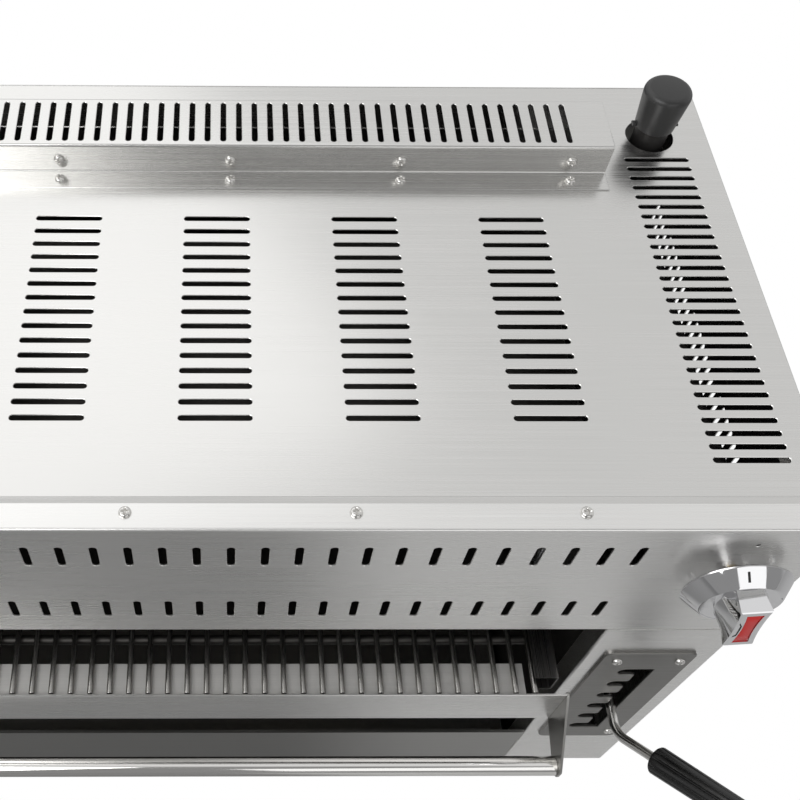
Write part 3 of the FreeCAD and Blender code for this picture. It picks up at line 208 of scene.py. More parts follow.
def slots(u, v, size, lengthways, steps=7):
    """Round-ended slots about each u, v: two half circles joined by straight sides."""
    length, width = size
    round_end = width / 2
    turn = np.linspace(-np.pi / 2, np.pi / 2, steps)
    run = length / 2 - round_end
    one = np.stack([run + round_end * np.cos(turn), round_end * np.sin(turn)], 1)
    ring = np.concatenate([one, -one])
    if lengthways == "v":
        ring = np.stack([-ring[:, 1], ring[:, 0]], 1)
    return [ring + (a, b) for a, b in zip(np.broadcast_to(u, np.shape(v)).ravel(), np.ravel(v))]


def circle(u, v, radius, steps=24):
    """A circle's points, anticlockwise."""
    turn = np.linspace(0, 2 * np.pi, steps, endpoint=False)
    return np.stack([u + radius * np.cos(turn), v + radius * np.sin(turn)], 1)


def rounded(corners, radii, steps=6):
    """An anticlockwise outline whose corners are arcs tangent to both sides, as points."""
    corners = np.array(corners, float)
    points = []
    for i, radius in enumerate(radii):
        here = corners[i]
        to_last = corners[i - 1] - here
        to_next = corners[(i + 1) % len(corners)] - here
        to_last = to_last / np.linalg.norm(to_last)
        to_next = to_next / np.linalg.norm(to_next)
        half = math.acos(np.clip(to_last @ to_next, -1, 1)) / 2
        if radius <= 0:
            points.append(here[None])
            continue
        centre = here + (to_last + to_next) / np.linalg.norm(to_last + to_next) * radius / math.sin(half)
        start = here + to_last * radius / math.tan(half) - centre
        end = here + to_next * radius / math.tan(half) - centre
        sweep = math.atan2(start[0] * end[1] - start[1] * end[0], start @ end)
        turn = np.linspace(0, sweep, steps)[:, None]
        side = np.array((-start[1], start[0]))
        points.append(centre + np.cos(turn) * start + np.sin(turn) * side)
    points = np.concatenate(points)
    return points[np.linalg.norm(points - np.roll(points, 1, 0), axis=1) > 0.001]


def box_outline(u0, u1, v0, v1, breaks=()):
    """A rectangle's points, anticlockwise, and more points where fold lines meet its sides."""
    us = np.unique([u0, *[u for u in breaks if u0 < u < u1], u1])
    low = np.stack([us, np.full(len(us), v0)], 1)
    high = np.stack([us[::-1], np.full(len(us), v1)], 1)
    return np.concatenate([low, high])


def grown(ring, distance):
    """The ring moved outwards by a distance, along the mean normal of each point's two sides."""
    before = ring - np.roll(ring, 1, 0)
    after = np.roll(ring, -1, 0) - ring
    mean = sum(side_normal(d / np.linalg.norm(d, axis=1)[:, None], 1) for d in (before, after))
    return ring + mean * (2 * distance / np.sum(mean * mean, 1))[:, None]


def profile(corners, radius, side, steps=7):
    """A folded sheet's outer face in section: points, their distances along it and outward normals.

    Each corner is an arc, larger by the sheet's thickness where the sheet lies inside the fold.
    """
    corners = np.array(corners, float)
    headings = np.diff(corners, axis=0)
    headings /= np.linalg.norm(headings, axis=1)[:, None]
    points, normals = [corners[:1]], [side_normal(headings[:1], side)]
    for i in range(1, len(corners) - 1):
        a, b = headings[i - 1], headings[i]
        turn = math.atan2(a[0] * b[1] - a[1] * b[0], a @ b)
        r = radius + sheet if turn * side > 0 else radius
        sweep = np.linspace(0, turn, steps)[:, None]
        across = np.array((-a[1], a[0])) * np.sign(turn)
        centre = corners[i] - a * r * math.tan(abs(turn) / 2) + across * r
        start = -across * r
        arc = np.cos(sweep) * start + np.sin(sweep) * np.array((-start[1], start[0]))
        heading = np.cos(sweep) * a + np.sin(sweep) * np.array((-a[1], a[0]))
        lead = centre + start - a * fine
        trail = centre + arc[-1] + b * fine
        points += [lead[None], centre + arc, trail[None]]
        normals += [side_normal(a[None], side), side_normal(heading, side), side_normal(b[None], side)]
    points.append(corners[-1:])
    normals.append(side_normal(headings[-1:], side))
    points = np.concatenate(points)
    along = np.concatenate([[0], np.cumsum(np.linalg.norm(np.diff(points, axis=0), axis=1))])
    return points, along, np.concatenate(normals)


def side_normal(heading, side):
    """The outward normal of a face that runs along heading, where side is 1 for metal on the left."""
    return np.stack([heading[:, 1], -heading[:, 0]], 1) * side


def folding(section, plane):
    """A function from flat coordinates and depth to places: along the section, then square to it."""
    points, along, normals = section

    def fold(uv, depth):
        p = [np.interp(uv[:, 0], along, points[:, k]) for k in (0, 1)]
        n = [np.interp(uv[:, 0], along, normals[:, k]) for k in (0, 1)]
        a, b = p[0] - n[0] * depth, p[1] - n[1] * depth
        run = uv[:, 1]
        return np.stack({"across": (a, run, b), "along": (run, a, b), "upright": (a, b, run)}[plane], 1)

    return fold


def flat(plane, at, way):
    """A function from flat coordinates and depth to places on a plane, where way is its face's side."""

    def fold(uv, depth):
        u, v = uv[:, 0], uv[:, 1]
        w = np.full(len(uv), float(at)) - way * depth
        return np.stack({"level": (u, v, w), "upright": (u, w, v), "sideways": (w, u, v)}[plane], 1)

    return fold


def quads(rows, columns):
    """Faces of a grid of points in rows, whose last column joins the first."""
    r = np.arange(rows - 1)[:, None] * columns
    c = np.arange(columns)[None]
    n = (c + 1) % columns
    return np.stack([r + c, r + n, r + columns + n, r + columns + c], -1).reshape(-1, 4).tolist()


def sheet_metal(fold, outline, holes=(), lines=(), thickness=sheet, edge=rim):
    """A closed sheet: its face is a triangulation between rings, and has chamfered edges.

    Each ring's chamfer and wall are rows of points joined in quads, and the rear face repeats the
    front one's triangles the other way round.
    """
    rings = [(outline, -1)] + [(hole, 1) for hole in holes]
    faces_in, edges, starts, count = [], [], [], 0
    for ring, way in rings:
        n = len(ring)
        starts.append(count)
        faces_in.append(grown(ring, way * edge))
        index = np.arange(n) + count
        edges.append(np.stack([index, np.roll(index, -1)], 1))
        count += n
    points = np.concatenate(faces_in)
    for pair in lines:
        edges.append(np.array([[int(np.argmin(np.linalg.norm(faces_in[0] - p, axis=1))) for p in pair]]))
    edges = np.concatenate(edges)
    made = delaunay_2d_cdt([Vector(p) for p in points], edges.tolist(), [], 1, same_place)
    flat_points = np.array([tuple(v) for v in made[0]])
    triangles = np.array(made[2])
    middle = flat_points[triangles].mean(1)
    keep = np.ones(len(triangles), bool)
    for ring in faces_in[1:]:
        low, high = ring.min(0), ring.max(0)
        near = np.nonzero(keep & np.all((middle > low) & (middle < high), 1))[0]
        keep[near] = ~inside(middle[near], ring)
    triangles = triangles[keep]
    a, b, c = (flat_points[triangles[:, k]] for k in range(3))
    turned = np.cross(b - a, c - a) < 0
    triangles[turned] = triangles[turned][:, ::-1]
    rear = flat_points.copy()
    place = {k: i for i, sources in enumerate(made[3]) for k in sources}
    verts = [fold(flat_points, 0.0)]
    ring_faces = []
    total = 2 * len(flat_points)
    for (ring, way), start in zip(rings, starts):
        n = len(ring)
        here = np.array([place[start + i] for i in range(n)])
        rear[here] = ring
        shoulder = fold(ring, edge)
        verts.append(shoulder)
        row = np.arange(n) + total
        total += n
        nxt = np.roll(np.arange(n), -1)
        far = here + len(flat_points)
        for first, second in ((here, row), (row, far)):
            face = np.stack([first, second, second[nxt], first[nxt]], 1)
            ring_faces.append(face if way < 0 else face[:, ::-1])
    verts.insert(1, fold(rear, thickness))
    faces = triangles.tolist() + (triangles[:, ::-1] + len(flat_points)).tolist()
    for block in ring_faces:
        faces += block.tolist()
    return np.concatenate(verts), faces


def inside(points, ring):
    """Which points lie inside the ring, by counting the sides that a ray crosses."""
    x, y = points[:, :1], points[:, 1:]
    x0, y0 = ring[:, 0], ring[:, 1]
    x1, y1 = np.roll(x0, -1), np.roll(y0, -1)
    crosses = ((y0 > y) != (y1 > y)) & (x < (x1 - x0) * (y - y0) / np.where(y1 == y0, 1, y1 - y0) + x0)
    return crosses.sum(1) % 2 == 1


def spokes(way, steps):
    """The angles of a full turn in even steps, and for each the direction square to way."""
    upright = abs(way[2]) > upright_share
    side = np.cross(way, (1.0, 0.0, 0.0) if upright else (0.0, 0.0, 1.0))
    side /= np.linalg.norm(side)
    third = np.cross(way, side)
    turn = np.linspace(0, 2 * np.pi, steps, endpoint=False)
    return turn, np.cos(turn)[:, None] * side + np.sin(turn)[:, None] * third


def spun(points, base, way, steps=48):
    """A surface of revolution: rows of (radius, height) turned about the axis from base along way."""
    points = np.array(points, float)
    way = np.array(way, float) / np.linalg.norm(way)
    _, ring = spokes(way, steps)
    rows = np.array(base) + points[:, 1, None, None] * way + points[:, 0, None, None] * ring
    return rows.reshape(-1, 3), quads(len(points), steps)


def capped(rows, columns):
    """Faces of a closed body: a grid of points whose first and last rows are ends."""
    last = (rows - 1) * columns
    return quads(rows, columns) + [list(range(columns))[::-1], list(range(last, last + columns))]


def carried(path, ring, binormal, closed=False):
    """A ring of (across, binormal) points carried along a plane path; its ends are closed by faces."""
    path = np.array(path, float)
    tangent = np.roll(path, -1, 0) - np.roll(path, 1, 0) if closed else np.gradient(path, axis=0)
    tangent /= np.linalg.norm(tangent, axis=1)[:, None]
    binormal = np.array(binormal, float) / np.linalg.norm(binormal)
    across = np.cross(binormal, tangent)
    ring = np.broadcast_to(ring, (len(path), *np.shape(ring)[-2:]))
    rows = path[:, None] + ring[..., :1] * across[:, None] + ring[..., 1:] * binormal
    n = ring.shape[1]
    if not closed:
        return rows.reshape(-1, 3), capped(len(path), n)
    last = (len(path) - 1) * n
    joint = [[last + i, last + (i + 1) % n, (i + 1) % n, i] for i in range(n)]
    return rows.reshape(-1, 3), quads(len(path), n) + joint


def bar(start, end, radius, steps=16, round_share=0.6):
    """A round bar with rounded ends: circles whose radius follows a quarter circle at both ends."""
    start, end = np.array(start, float), np.array(end, float)
    length = np.linalg.norm(end - start)
    soft = radius * round_share
    turn = np.linspace(0, np.pi / 2, 4)
    near = np.stack([radius - soft + soft * np.sin(turn), soft - soft * np.cos(turn)], 1)
    far = np.stack([radius - soft + soft * np.cos(turn), length - soft + soft * np.sin(turn)], 1)
    rows = np.concatenate([[[0, 0]], near, far, [[0, length]]])
    return spun(rows, start, end - start, steps)


def screw_head(base, way, steps=32, rings=12):
    """A pan head with a cross recess: a dome's height, less a smooth dip along two crossed bars."""
    base, way = np.array(base), np.array(way)
    turn, ring = spokes(way, steps)
    r = np.linspace(0.0, 1.0, rings)[:, None] * head_radius
    height = head_height * np.sqrt(np.clip(1 - (r / head_radius) ** 4, 0, 1)) * np.ones_like(turn)
    x, y = r * np.cos(turn), r * np.sin(turn)
    arm = recess_width / 2
    height -= recess_depth * np.maximum(soft_bar(x, y, arm), soft_bar(y, x, arm))
    height[0] = head_height - recess_depth
    rows = base + r[..., None] * ring + height[..., None] * way
    foot = base + head_radius * ring - fine * way
    rows = np.concatenate([rows, foot[None]])
    faces = quads(rings + 1, steps)
    faces.append(list(range(rings * steps, (rings + 1) * steps)))
    return rows.reshape(-1, 3), faces


def soft_bar(a, b, arm):
    """A mask that is 1 along a bar of the recess and falls off smoothly at its sides and ends."""
    side = 1 / (1 + np.exp((np.abs(b) - arm) / recess_side_blur))
    end = 1 / (1 + np.exp((np.abs(a) - recess_half) / recess_end_blur))
    return side * end


def make_piece(name, body, material, blocks, stands_for, smooth=30.0, accent=None, marks=()):
    """A mesh object from blocks of points and faces, riding on its body in place of its nodes.

    The faces of its marks take the accent material.
    """
    verts, faces, count = [], [], 0
    plain = sum(len(block) for _, block in blocks)
    for points, block in [*blocks, *marks]:
        verts.append(points)
        faces += [[i + count for i in face] for face in block]
        count += len(points)
    mesh = bpy.data.meshes.new(name)
    mesh.from_pydata((np.concatenate(verts) * METRES).tolist(), [], faces)
    mesh.materials.append(material)
    if accent:
        mesh.materials.append(accent)
        mesh.polygons.foreach_set("material_index", (np.arange(len(faces)) >= plain).astype(int))
    piece = bpy.data.objects.new(name, mesh)
    bpy.context.scene.collection.objects.link(piece)
    tidy = bmesh.new()
    tidy.from_mesh(mesh)
    bmesh.ops.remove_doubles(tidy, verts=tidy.verts, dist=weld_reach)
    bmesh.ops.dissolve_degenerate(tidy, edges=tidy.edges, dist=thin_edge)
    bmesh.ops.recalc_face_normals(tidy, faces=tidy.faces)
    tidy.to_mesh(mesh)
    tidy.free()
    mesh.shade_smooth()
    mesh.set_sharp_from_angle(angle=math.radians(smooth))
    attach(piece, body)
    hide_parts(*stands_for)


def bent_sheet(corners, radius, side, plane, run, holes=(), thickness=sheet):
    """A folded sheet from its outer face in section, holed at places given along the section."""
    section = profile(corners, radius, side)
    along = section[1]
    folds = along[1:-1]
    outline = box_outline(along[0], along[-1], *run, folds)
    lines = [((u, run[0]), (u, run[1])) for u in folds]
    return sheet_metal(folding(section, plane), outline, holes, lines, thickness)


def along_of(corners, radius, side, index, value):
    """The distance along a folded sheet at which its coordinate of that index has that value."""
    points, along, _ = profile(corners, radius, side)
    order = np.argsort(points[:, index])
    return float(np.interp(value, points[order, index], along[order]))


def plate(plane, at, way, outline, holes=(), thickness=sheet, edge=rim):
    """A flat sheet on a plane, its face at that place and turned towards way."""
    return sheet_metal(flat(plane, at, way), outline, holes, (), thickness, edge)


# Finishes
grain_detail, cloud_scale, cloud_share, mottle_scale = 3.0, 9.0, 0.35, 30.0
grain_roughness_share, mottle_roughness_share = 0.25, 0.3
red_specular = 0.25


def worked(tree, operation, *values):
    """The result of a Math node on sockets and numbers, in their order."""
    node = tree.nodes.new("ShaderNodeMath")
    node.operation = operation
    for place, value in zip(node.inputs, values):
        if isinstance(value, float):
            place.default_value = value
        else:
            tree.links.new(value, place)
    return node.outputs[0]


def noise(tree, vector, scale, detail=2.0):
    """A noise texture's value at that vector; its scale is a number or a socket."""
    node = tree.nodes.new("ShaderNodeTexNoise")
    node.inputs["Detail"].default_value = detail
    tree.links.new(vector, node.inputs["Vector"])
    if isinstance(scale, float):
        node.inputs["Scale"].default_value = scale
    else:
        tree.links.new(scale, node.inputs["Scale"])
    return node.outputs["Fac"]


def pattern_group(name, own_name, own_kind):
    """An empty pattern group with its sockets, its input and output nodes and object coordinates."""
    group = bpy.data.node_groups.new(name, "ShaderNodeTree")
    kinds = (("Color", "NodeSocketColor"), (own_name, own_kind), ("Contrast", "NodeSocketFloat"),
             ("Roughness", "NodeSocketFloat"))
    for word, kind in kinds:
        group.interface.new_socket(name=word, in_out="INPUT", socket_type=kind)
    for word, kind in (kinds[0], kinds[3], ("Height", "NodeSocketFloat")):
        group.interface.new_socket(name=word, in_out="OUTPUT", socket_type=kind)
    given = group.nodes.new("NodeGroupInput").outputs
    out = group.nodes.new("NodeGroupOutput").inputs
    place = group.nodes.new("ShaderNodeTexCoord").outputs["Object"]
    return group, given, out, place


def put_out(group, given, out, tone, roughness_share, height):
    """Colour times 1 + tone * contrast, roughness plus a share of the tone, and the height."""
    swing = worked(group, "MULTIPLY_ADD", tone, given["Contrast"], 1.0)
    tinted = group.nodes.new("ShaderNodeVectorMath")
    tinted.operation = "SCALE"
    group.links.new(given["Color"], tinted.inputs[0])
    group.links.new(swing, tinted.inputs["Scale"])
    group.links.new(tinted.outputs[0], out["Color"])
    rough = worked(group, "MULTIPLY_ADD", tone, roughness_share, given["Roughness"])
    group.links.new(rough, out["Roughness"])
    group.links.new(height, out["Height"])


def brushing_group():
    """Drawn-out grain: fine noise stretched along one axis, wide cloudy tone, and a height."""
    group, given, out, place = pattern_group("brushing", "Stretch", "NodeSocketVector")
    scaled = group.nodes.new("ShaderNodeVectorMath")
    scaled.operation = "MULTIPLY"
    group.links.new(place, scaled.inputs[0])
    group.links.new(given["Stretch"], scaled.inputs[1])
    grain = noise(group, scaled.outputs[0], 1.0, grain_detail)
    cloud = noise(group, place, cloud_scale, grain_detail)
    both = worked(group, "MULTIPLY_ADD", cloud, cloud_share, grain)
    tone = worked(group, "SUBTRACT", both, (1 + cloud_share) / 2)
    put_out(group, given, out, tone, grain_roughness_share, grain)
    return group


def speckle_group():
    """Small bumps and a wide mottled tone, for cast, moulded and fired surfaces."""
    group, given, out, place = pattern_group("speckle", "Scale", "NodeSocketFloat")
    tone = worked(group, "SUBTRACT", noise(group, place, mottle_scale), 0.5)
    bumps = noise(group, place, given["Scale"])
    put_out(group, given, out, tone, mottle_roughness_share, bumps)
    return group


brushing = brushing_group()
speckle = speckle_group()


def finish_of(name, group, color, roughness, contrast, bump, bump_depth, metallic=1.0, **inputs):
    """A material: a Principled shader whose colour, roughness and relief come from a group."""
    material = bpy.data.materials.new(name)
    material.use_nodes = True
    tree = material.node_tree
    shader = tree.nodes["Principled BSDF"]
    shader.inputs["Metallic"].default_value = metallic
    pattern = tree.nodes.new("ShaderNodeGroup")
    pattern.node_tree = group
    pattern.inputs["Color"].default_value = (*color, 1.0)
    pattern.inputs["Roughness"].default_value = roughness
    pattern.inputs["Contrast"].default_value = contrast
    for key, value in inputs.items():
        pattern.inputs[key].default_value = value
    relief = tree.nodes.new("ShaderNodeBump")
    relief.inputs["Strength"].default_value = bump
    relief.inputs["Distance"].default_value = bump_depth
    tree.links.new(pattern.outputs["Height"], relief.inputs["Height"])
    tree.links.new(pattern.outputs["Color"], shader.inputs["Base Color"])
    tree.links.new(pattern.outputs["Roughness"], shader.inputs["Roughness"])
    tree.links.new(relief.outputs["Normal"], shader.inputs["Normal"])
    return material


def brushed(name, color, roughness, stretch, contrast=0.16, bump=0.35, depth=0.00002):
    """Brushed steel whose grain is stretched by those scales."""
    return finish_of(name, brushing, color, roughness, contrast, bump, depth, Stretch=stretch)


def mottled(name, color, roughness, scale, contrast=0.2, bump=0.2, depth=0.0001, metallic=0.0):
    """A cast, moulded or fired surface."""
    return finish_of(name, speckle, color, roughness, contrast, bump, depth, metallic, Scale=scale)


along_x = (6.0, 1400.0, 1400.0)
along_y = (1400.0, 6.0, 1400.0)
steel_color = (0.70, 0.695, 0.68)
top_steel = brushed("brushed top steel", steel_color, 0.24, along_x)
front_steel = brushed("brushed front steel", (0.82, 0.815, 0.80), 0.30, along_x)
side_steel = brushed("brushed side steel", steel_color, 0.30, along_y)
plate_steel = brushed("fine plate steel", (0.22, 0.216, 0.206), 0.36, along_x, 0.08, 0.2)
bracket_steel = brushed("brushed bracket steel", (0.40, 0.395, 0.38), 0.34, (1400.0, 60.0, 60.0), 0.1)
# The drip tray's steel is darker than the other steels: painted shade for the shadow of the handle tube
# and apron.
shaded_tray_steel = brushed("tray steel darkened for painted shade", (0.34, 0.337, 0.325), 0.34, along_x)
shelf_steel = brushed("brushed shelf steel", (0.80, 0.79, 0.77), 0.58, along_x)
# Near-black steel for the liners, burner boxes, carriages, cross bar and the rack's frame rod: painted
# shade for the dark cavity.
shaded_inner_steel = brushed("inner steel darkened for painted shade", (0.075, 0.072, 0.068), 0.5, (60.0, 60.0, 60.0), 0.4, 0.1)
rail_steel = brushed("heated rail steel", (0.20, 0.196, 0.19), 0.3, along_y, 0.2, 0.1)
mill_steel = brushed("mill steel", (0.42, 0.415, 0.40), 0.38, (60.0, 60.0, 60.0), 0.3, 0.1)
bright_wire = brushed("bright drawn wire", (0.38, 0.372, 0.357), 0.22, (900.0, 20.0, 900.0), 0.12, 0.08)
polished = brushed("polished tube", (0.80, 0.79, 0.77), 0.10, (10.0, 500.0, 500.0), 0.06, 0.05)
chrome = brushed("chrome plate", (0.80, 0.80, 0.81), 0.05, (90.0, 90.0, 90.0), 0.04, 0.02)
lever_finish = brushed("drawn lever steel", (0.74, 0.73, 0.71), 0.18, (500.0, 500.0, 500.0), 0.1, 0.05)
screw_finish = brushed("screw steel", (0.66, 0.65, 0.63), 0.18, (400.0, 400.0, 400.0), 0.12, 0.05)
red_enamel = mottled("red window", (0.60, 0.012, 0.010), 0.35, 300.0, 0.15, 0.05)
red_enamel.node_tree.nodes["Principled BSDF"].inputs["Specular IOR Level"].default_value = red_specular
black_paint = mottled("black marking paint", (0.01, 0.01, 0.01), 0.6, 800.0, 0.2, 0.05)
grip_plastic = mottled("black grip plastic", (0.010, 0.010, 0.010), 0.24, 900.0, 0.2, 0.06)
cap_plastic = mottled("black cap plastic", (0.030, 0.030, 0.030), 0.36, 900.0, 0.3, 0.5)
fired_tile = mottled("fired tile", (0.76, 0.70, 0.58), 0.85, 700.0, 0.3, 0.8)
iron_pipe = mottled("black iron pipe", (0.035, 0.033, 0.032), 0.5, 500.0, 0.4, 0.5, metallic=0.6)
turned_brass = brushed("turned brass", (0.62, 0.45, 0.20), 0.25, (600.0, 60.0, 600.0), 0.2)
drawn_aluminium = brushed("drawn aluminium", (0.70, 0.70, 0.71), 0.25, (300.0, 300.0, 300.0), 0.1)

kept_finishes = {
    mill_steel: (
        "back_panel", "base_panel", "flue_angle", "manifold_brackets", "right_shaft_bearing",
        "left_shaft_bearing", "lift_shaft", "right_lift_arm", "left_lift_arm", "lever_hub", "pivot_pin",
    ),
    # The parts inside the cavity take the near-black inner steel: painted shade.
    shaded_inner_steel: (
        "back_liner", "right_liner", "left_liner", "ceiling_panel", "heat_shield", "right_burner_box",
        "left_burner_box", "lift_guides", "right_carriage", "left_carriage", "rear_cross_bar",
    ),
    rail_steel: ("right_runner", "left_runner"),
    front_steel: ("right_front_column", "left_front_column"),
    # The drip tray takes the darkened tray steel: painted shade.
    shaded_tray_steel: ("drip_tray",),
    bright_wire: ("burner_screens",),
    fired_tile: ("right_burner_tiles", "left_burner_tiles"),
    iron_pipe: ("gas_manifold", "gas_inlet_pipe", "pipe_tee"),
    turned_brass: ("right_gas_valve", "left_gas_valve", "right_valve_stem", "left_valve_stem"),
    drawn_aluminium: ("right_feed_tube", "left_feed_tube"),
}
for finish, names in kept_finishes.items():
    for name in names:
        nodes[name].data.materials.clear()
        nodes[name].data.materials.append(finish)


# Casing


def top_panel():
    """The top: a sheet folded down at both sides, its rear flange and the tuck under the fascia."""
    start, end = front + lip + joggle, back - sheet - bend
    hem = top - top_flange
    corners = [(-half_width, hem), (-half_width, top), (half_width, top), (half_width, hem)]
    shift = along_of(corners, bend, -1, 0, 0.0)
    rows = front + top_first + np.arange(top_rows) * top_pitch
    holes = []
    for x in spread(group_count, group_pitch):
        holes += slots(np.full(top_rows, x + shift), rows, top_slot, "u")
    rows = front + side_first + np.arange(side_rows) * side_pitch
    for x in (-side_slot_x, side_slot_x):
        holes += slots(np.full(side_rows, x + shift), rows, side_slot, "u")
    holes.append(circle(pipe_x + shift, pipe_y, pipe_hole, steps=48))
    half, near, far = flue_opening
    holes.append(box_outline(shift - half, shift + half, near, far))
    sheet_block = bent_sheet(corners, bend, -1, "across", (start, end), holes)
    inner = half_width - sheet * 2
    rear = bent_sheet([(end, top), (back, top), (back, hem)], bend, -1, "along", (-inner, inner))
    foot = front + lip + seam
    under = top - sheet
    tuck = [(front + sheet + bend + seam, under), (foot, under), (start, top), (start + fine, top)]
    tucked = bent_sheet(tuck, bend, -1, "along", (-inner, inner))
    make_piece("top_sheet", "casing", top_steel, [sheet_block, rear, tucked], ["top_panel"])


def front_fascia():
    """The fascia: lip, face with two rows of slots, lower return, and its two end plates."""
    corners = [(front + lip, top), (front, top), (front, fascia_bottom),
               (front + fascia_return, fascia_bottom)]
    holes = []
    xs = spread(fascia_slots, fascia_pitch)
    for z in fascia_rows:
        u = along_of(corners, bend, 1, 1, z)
        holes += slots(np.full(fascia_slots, u), xs, fascia_slot, "u")
    u = along_of(corners, bend, 1, 1, knob_z)
    holes += [circle(u, x, stem_hole) for x in (-knob_x, knob_x)]
    u = front + lip - lip_screw_y
    holes += [circle(u, x, screw_hole) for x in spread(lip_screws, lip_screw_pitch)]
    u = along_of(corners, bend, 1, 1, dot_z)
    holes += [circle(u, x, dot_radius) for x in (-knob_x, knob_x)]
    blocks = [bent_sheet(corners, bend, 1, "along", (-half_width, half_width), holes)]
    ring = box_outline(front + sheet, front + column_return, fascia_bottom, top - sheet)
    for way in (-1, 1):
        blocks.append(plate("sideways", way * half_width, way, ring, edge=fine))
    dots = [plate("upright", front + dot_depth, -1, circle(x, dot_z, dot_radius + rim), (), rim, fine)
            for x in (-knob_x, knob_x)]
    make_piece("fascia_sheet", "casing", front_steel, blocks, ["front_fascia"],
               accent=black_paint, marks=dots)


def flue_cover():
    """The flue's hood: flange, face, slotted roof and back in one folded sheet, with end plates."""
    roof = top + flue_height
    foot = top + sheet
    corners = [(flue_y - flue_flange, foot), (flue_y, foot), (flue_y, roof), (flue_rear, roof),
               (flue_rear, top)]
    points, along, _ = profile(corners, bend, -1)
    on_roof = np.abs(points[:, 1] - roof) < same_place
    u = float(np.interp((flue_y + flue_rear) / 2, points[on_roof, 0], along[on_roof]))
    on_face = np.abs(points[:, 0] - flue_y) < same_place
    face_u = float(np.interp(flue_screw_z, points[on_face, 1], along[on_face]))
    flange_u = flue_screw_y - (flue_y - flue_flange)
    holes = slots(np.full(flue_slots, u), spread(flue_slots, flue_pitch), flue_slot, "u")
    for x in spread(flue_screws, flue_screw_pitch):
        holes += [circle(face_u, x, screw_hole), circle(flange_u, x, screw_hole)]
    blocks = [bent_sheet(corners, bend, -1, "along", (-flue_half, flue_half), holes)]
    ring = box_outline(flue_y + sheet, flue_rear - sheet, top, roof - sheet)
    for way in (-1, 1):
        blocks.append(plate("sideways", way * flue_half, way, ring, edge=fine))
    make_piece("flue_hood", "casing", top_steel, blocks, ["flue_cover"])


def side_panels():
    """The side sheets with their rows of upright vents."""
    ys = vent_first + np.arange(vents) * vent_pitch
    holes = slots(ys, np.full(vents, vent_z), vent, "v")
    ring = box_outline(front + sheet + bend, back - 2 * sheet, 0.0, top - sheet - bend)
    for word, way in (("right", 1), ("left", -1)):
        block = plate("sideways", way * (half_width - sheet), way, ring, holes)
        make_piece(word + "_side_sheet", "casing", side_steel, [block],
                   [word + "_side_panel"])


def notch_plate():
    """The plate with its upright channel and six round-ended notches."""
    low = plate_top - plate_height
    edge = rounded(box_outline(plate_left, plate_right, low, plate_top), [plate_corner] * 4)
    half = notch_height / 2
    right = finger_end + channel
    corners = [(right, lowest_notch - half), (right, highest_notch + half)]
    radii = [channel_corner] * 2
    for i in range(notches)[::-1]:
        z = lowest_notch + i * notch_pitch
        corners += [(notch_tip, z + half), (notch_tip, z - half)]
        radii += [half * notch_round_share] * 2
        if i:
            corners += [(finger_end, z - half), (finger_end, z - notch_pitch + half)]
            radii += [finger_corner] * 2
    holes = [rounded(corners, radii, steps=8)]
    holes += [circle(x, z, screw_hole) for x, z in plate_screws]
    block = plate("upright", front - plate_thickness, -1, edge, holes, plate_thickness, plate_rim)
    make_piece("notched_plate", "casing", plate_steel, [block], ["notch_plate"])


def screws():
    """Pan-head screws on the fascia's lip, the notch plate and the flue's hood."""
    up, out = (0.0, 0.0, 1.0), (0.0, -1.0, 0.0)
    heads = [screw_head((x, lip_screw_y, top), up) for x in spread(lip_screws, lip_screw_pitch)]
    make_piece("lip_screw_heads", "casing", screw_finish, heads, ["fascia_screws"])
    heads = [screw_head((x, front - plate_thickness, z), out) for x, z in plate_screws]
    make_piece("plate_screw_heads", "casing", screw_finish, heads, ["notch_plate_screws"])
    heads = []
    for x in spread(flue_screws, flue_screw_pitch):
        heads.append(screw_head((x, flue_y, flue_screw_z), out))
        heads.append(screw_head((x, flue_screw_y, top + sheet), up))
    make_piece("flue_screw_heads", "casing", screw_finish, heads, ["flue_cover_screws"])


# Lever


def lever():
    """The lever's rod on a line, an arc and a line, with its eye, and its fluted grip."""
    way = np.array((0.0, -math.cos(rest_angle), -math.sin(rest_angle)))
    axle = np.array((lever_x, shaft_y, shaft_z))
    pivot = axle + way * pivot_reach
    corner = axle + way * corner_reach
    turn = math.acos(way @ grip_way)
    inward = (grip_way - way) / np.linalg.norm(grip_way - way)
    centre = corner + inward * lever_bend / math.cos(turn / 2)
    outward = corner - way * lever_bend * math.tan(turn / 2) - centre
    side = np.cross(np.cross(way, grip_way), outward)
    side *= lever_bend / np.linalg.norm(side)
    sweep = np.linspace(0, turn, 16)[:, None]
    arc = centre + np.cos(sweep) * outward + np.sin(sweep) * side
    straight = np.linspace(0, 1, 10)[:, None]
    begin = pivot + way * rod_start
    end = corner + grip_way * (grip_start + rod_in_grip)
    path = np.concatenate([begin + (arc[0] - begin) * straight[:-1], arc,
                           arc[-1] + (end - arc[-1]) * straight[1:]])
    rod = carried(path, circle(0, 0, lever_radius), np.cross(way, grip_way))
    up = np.array((0.0, -math.sin(rest_angle), math.cos(rest_angle)))
    shoulder, cheek = eye_radius - eye_chamfer, eye_half - eye_chamfer
    rows = [(eye_bore, -eye_half), (shoulder, -eye_half), (eye_radius, -cheek), (eye_radius, cheek),
            (shoulder, eye_half), (eye_bore, eye_half), (eye_bore, -eye_half)]
    eye = spun(rows, pivot, up, steps=32)
    make_piece("bent_lever", "lever", lever_finish, [rod, eye], ["lever_rod"])
    make_piece("fluted_grip", "lever", grip_plastic, [fluted_grip(corner)], ["lever_grip"])


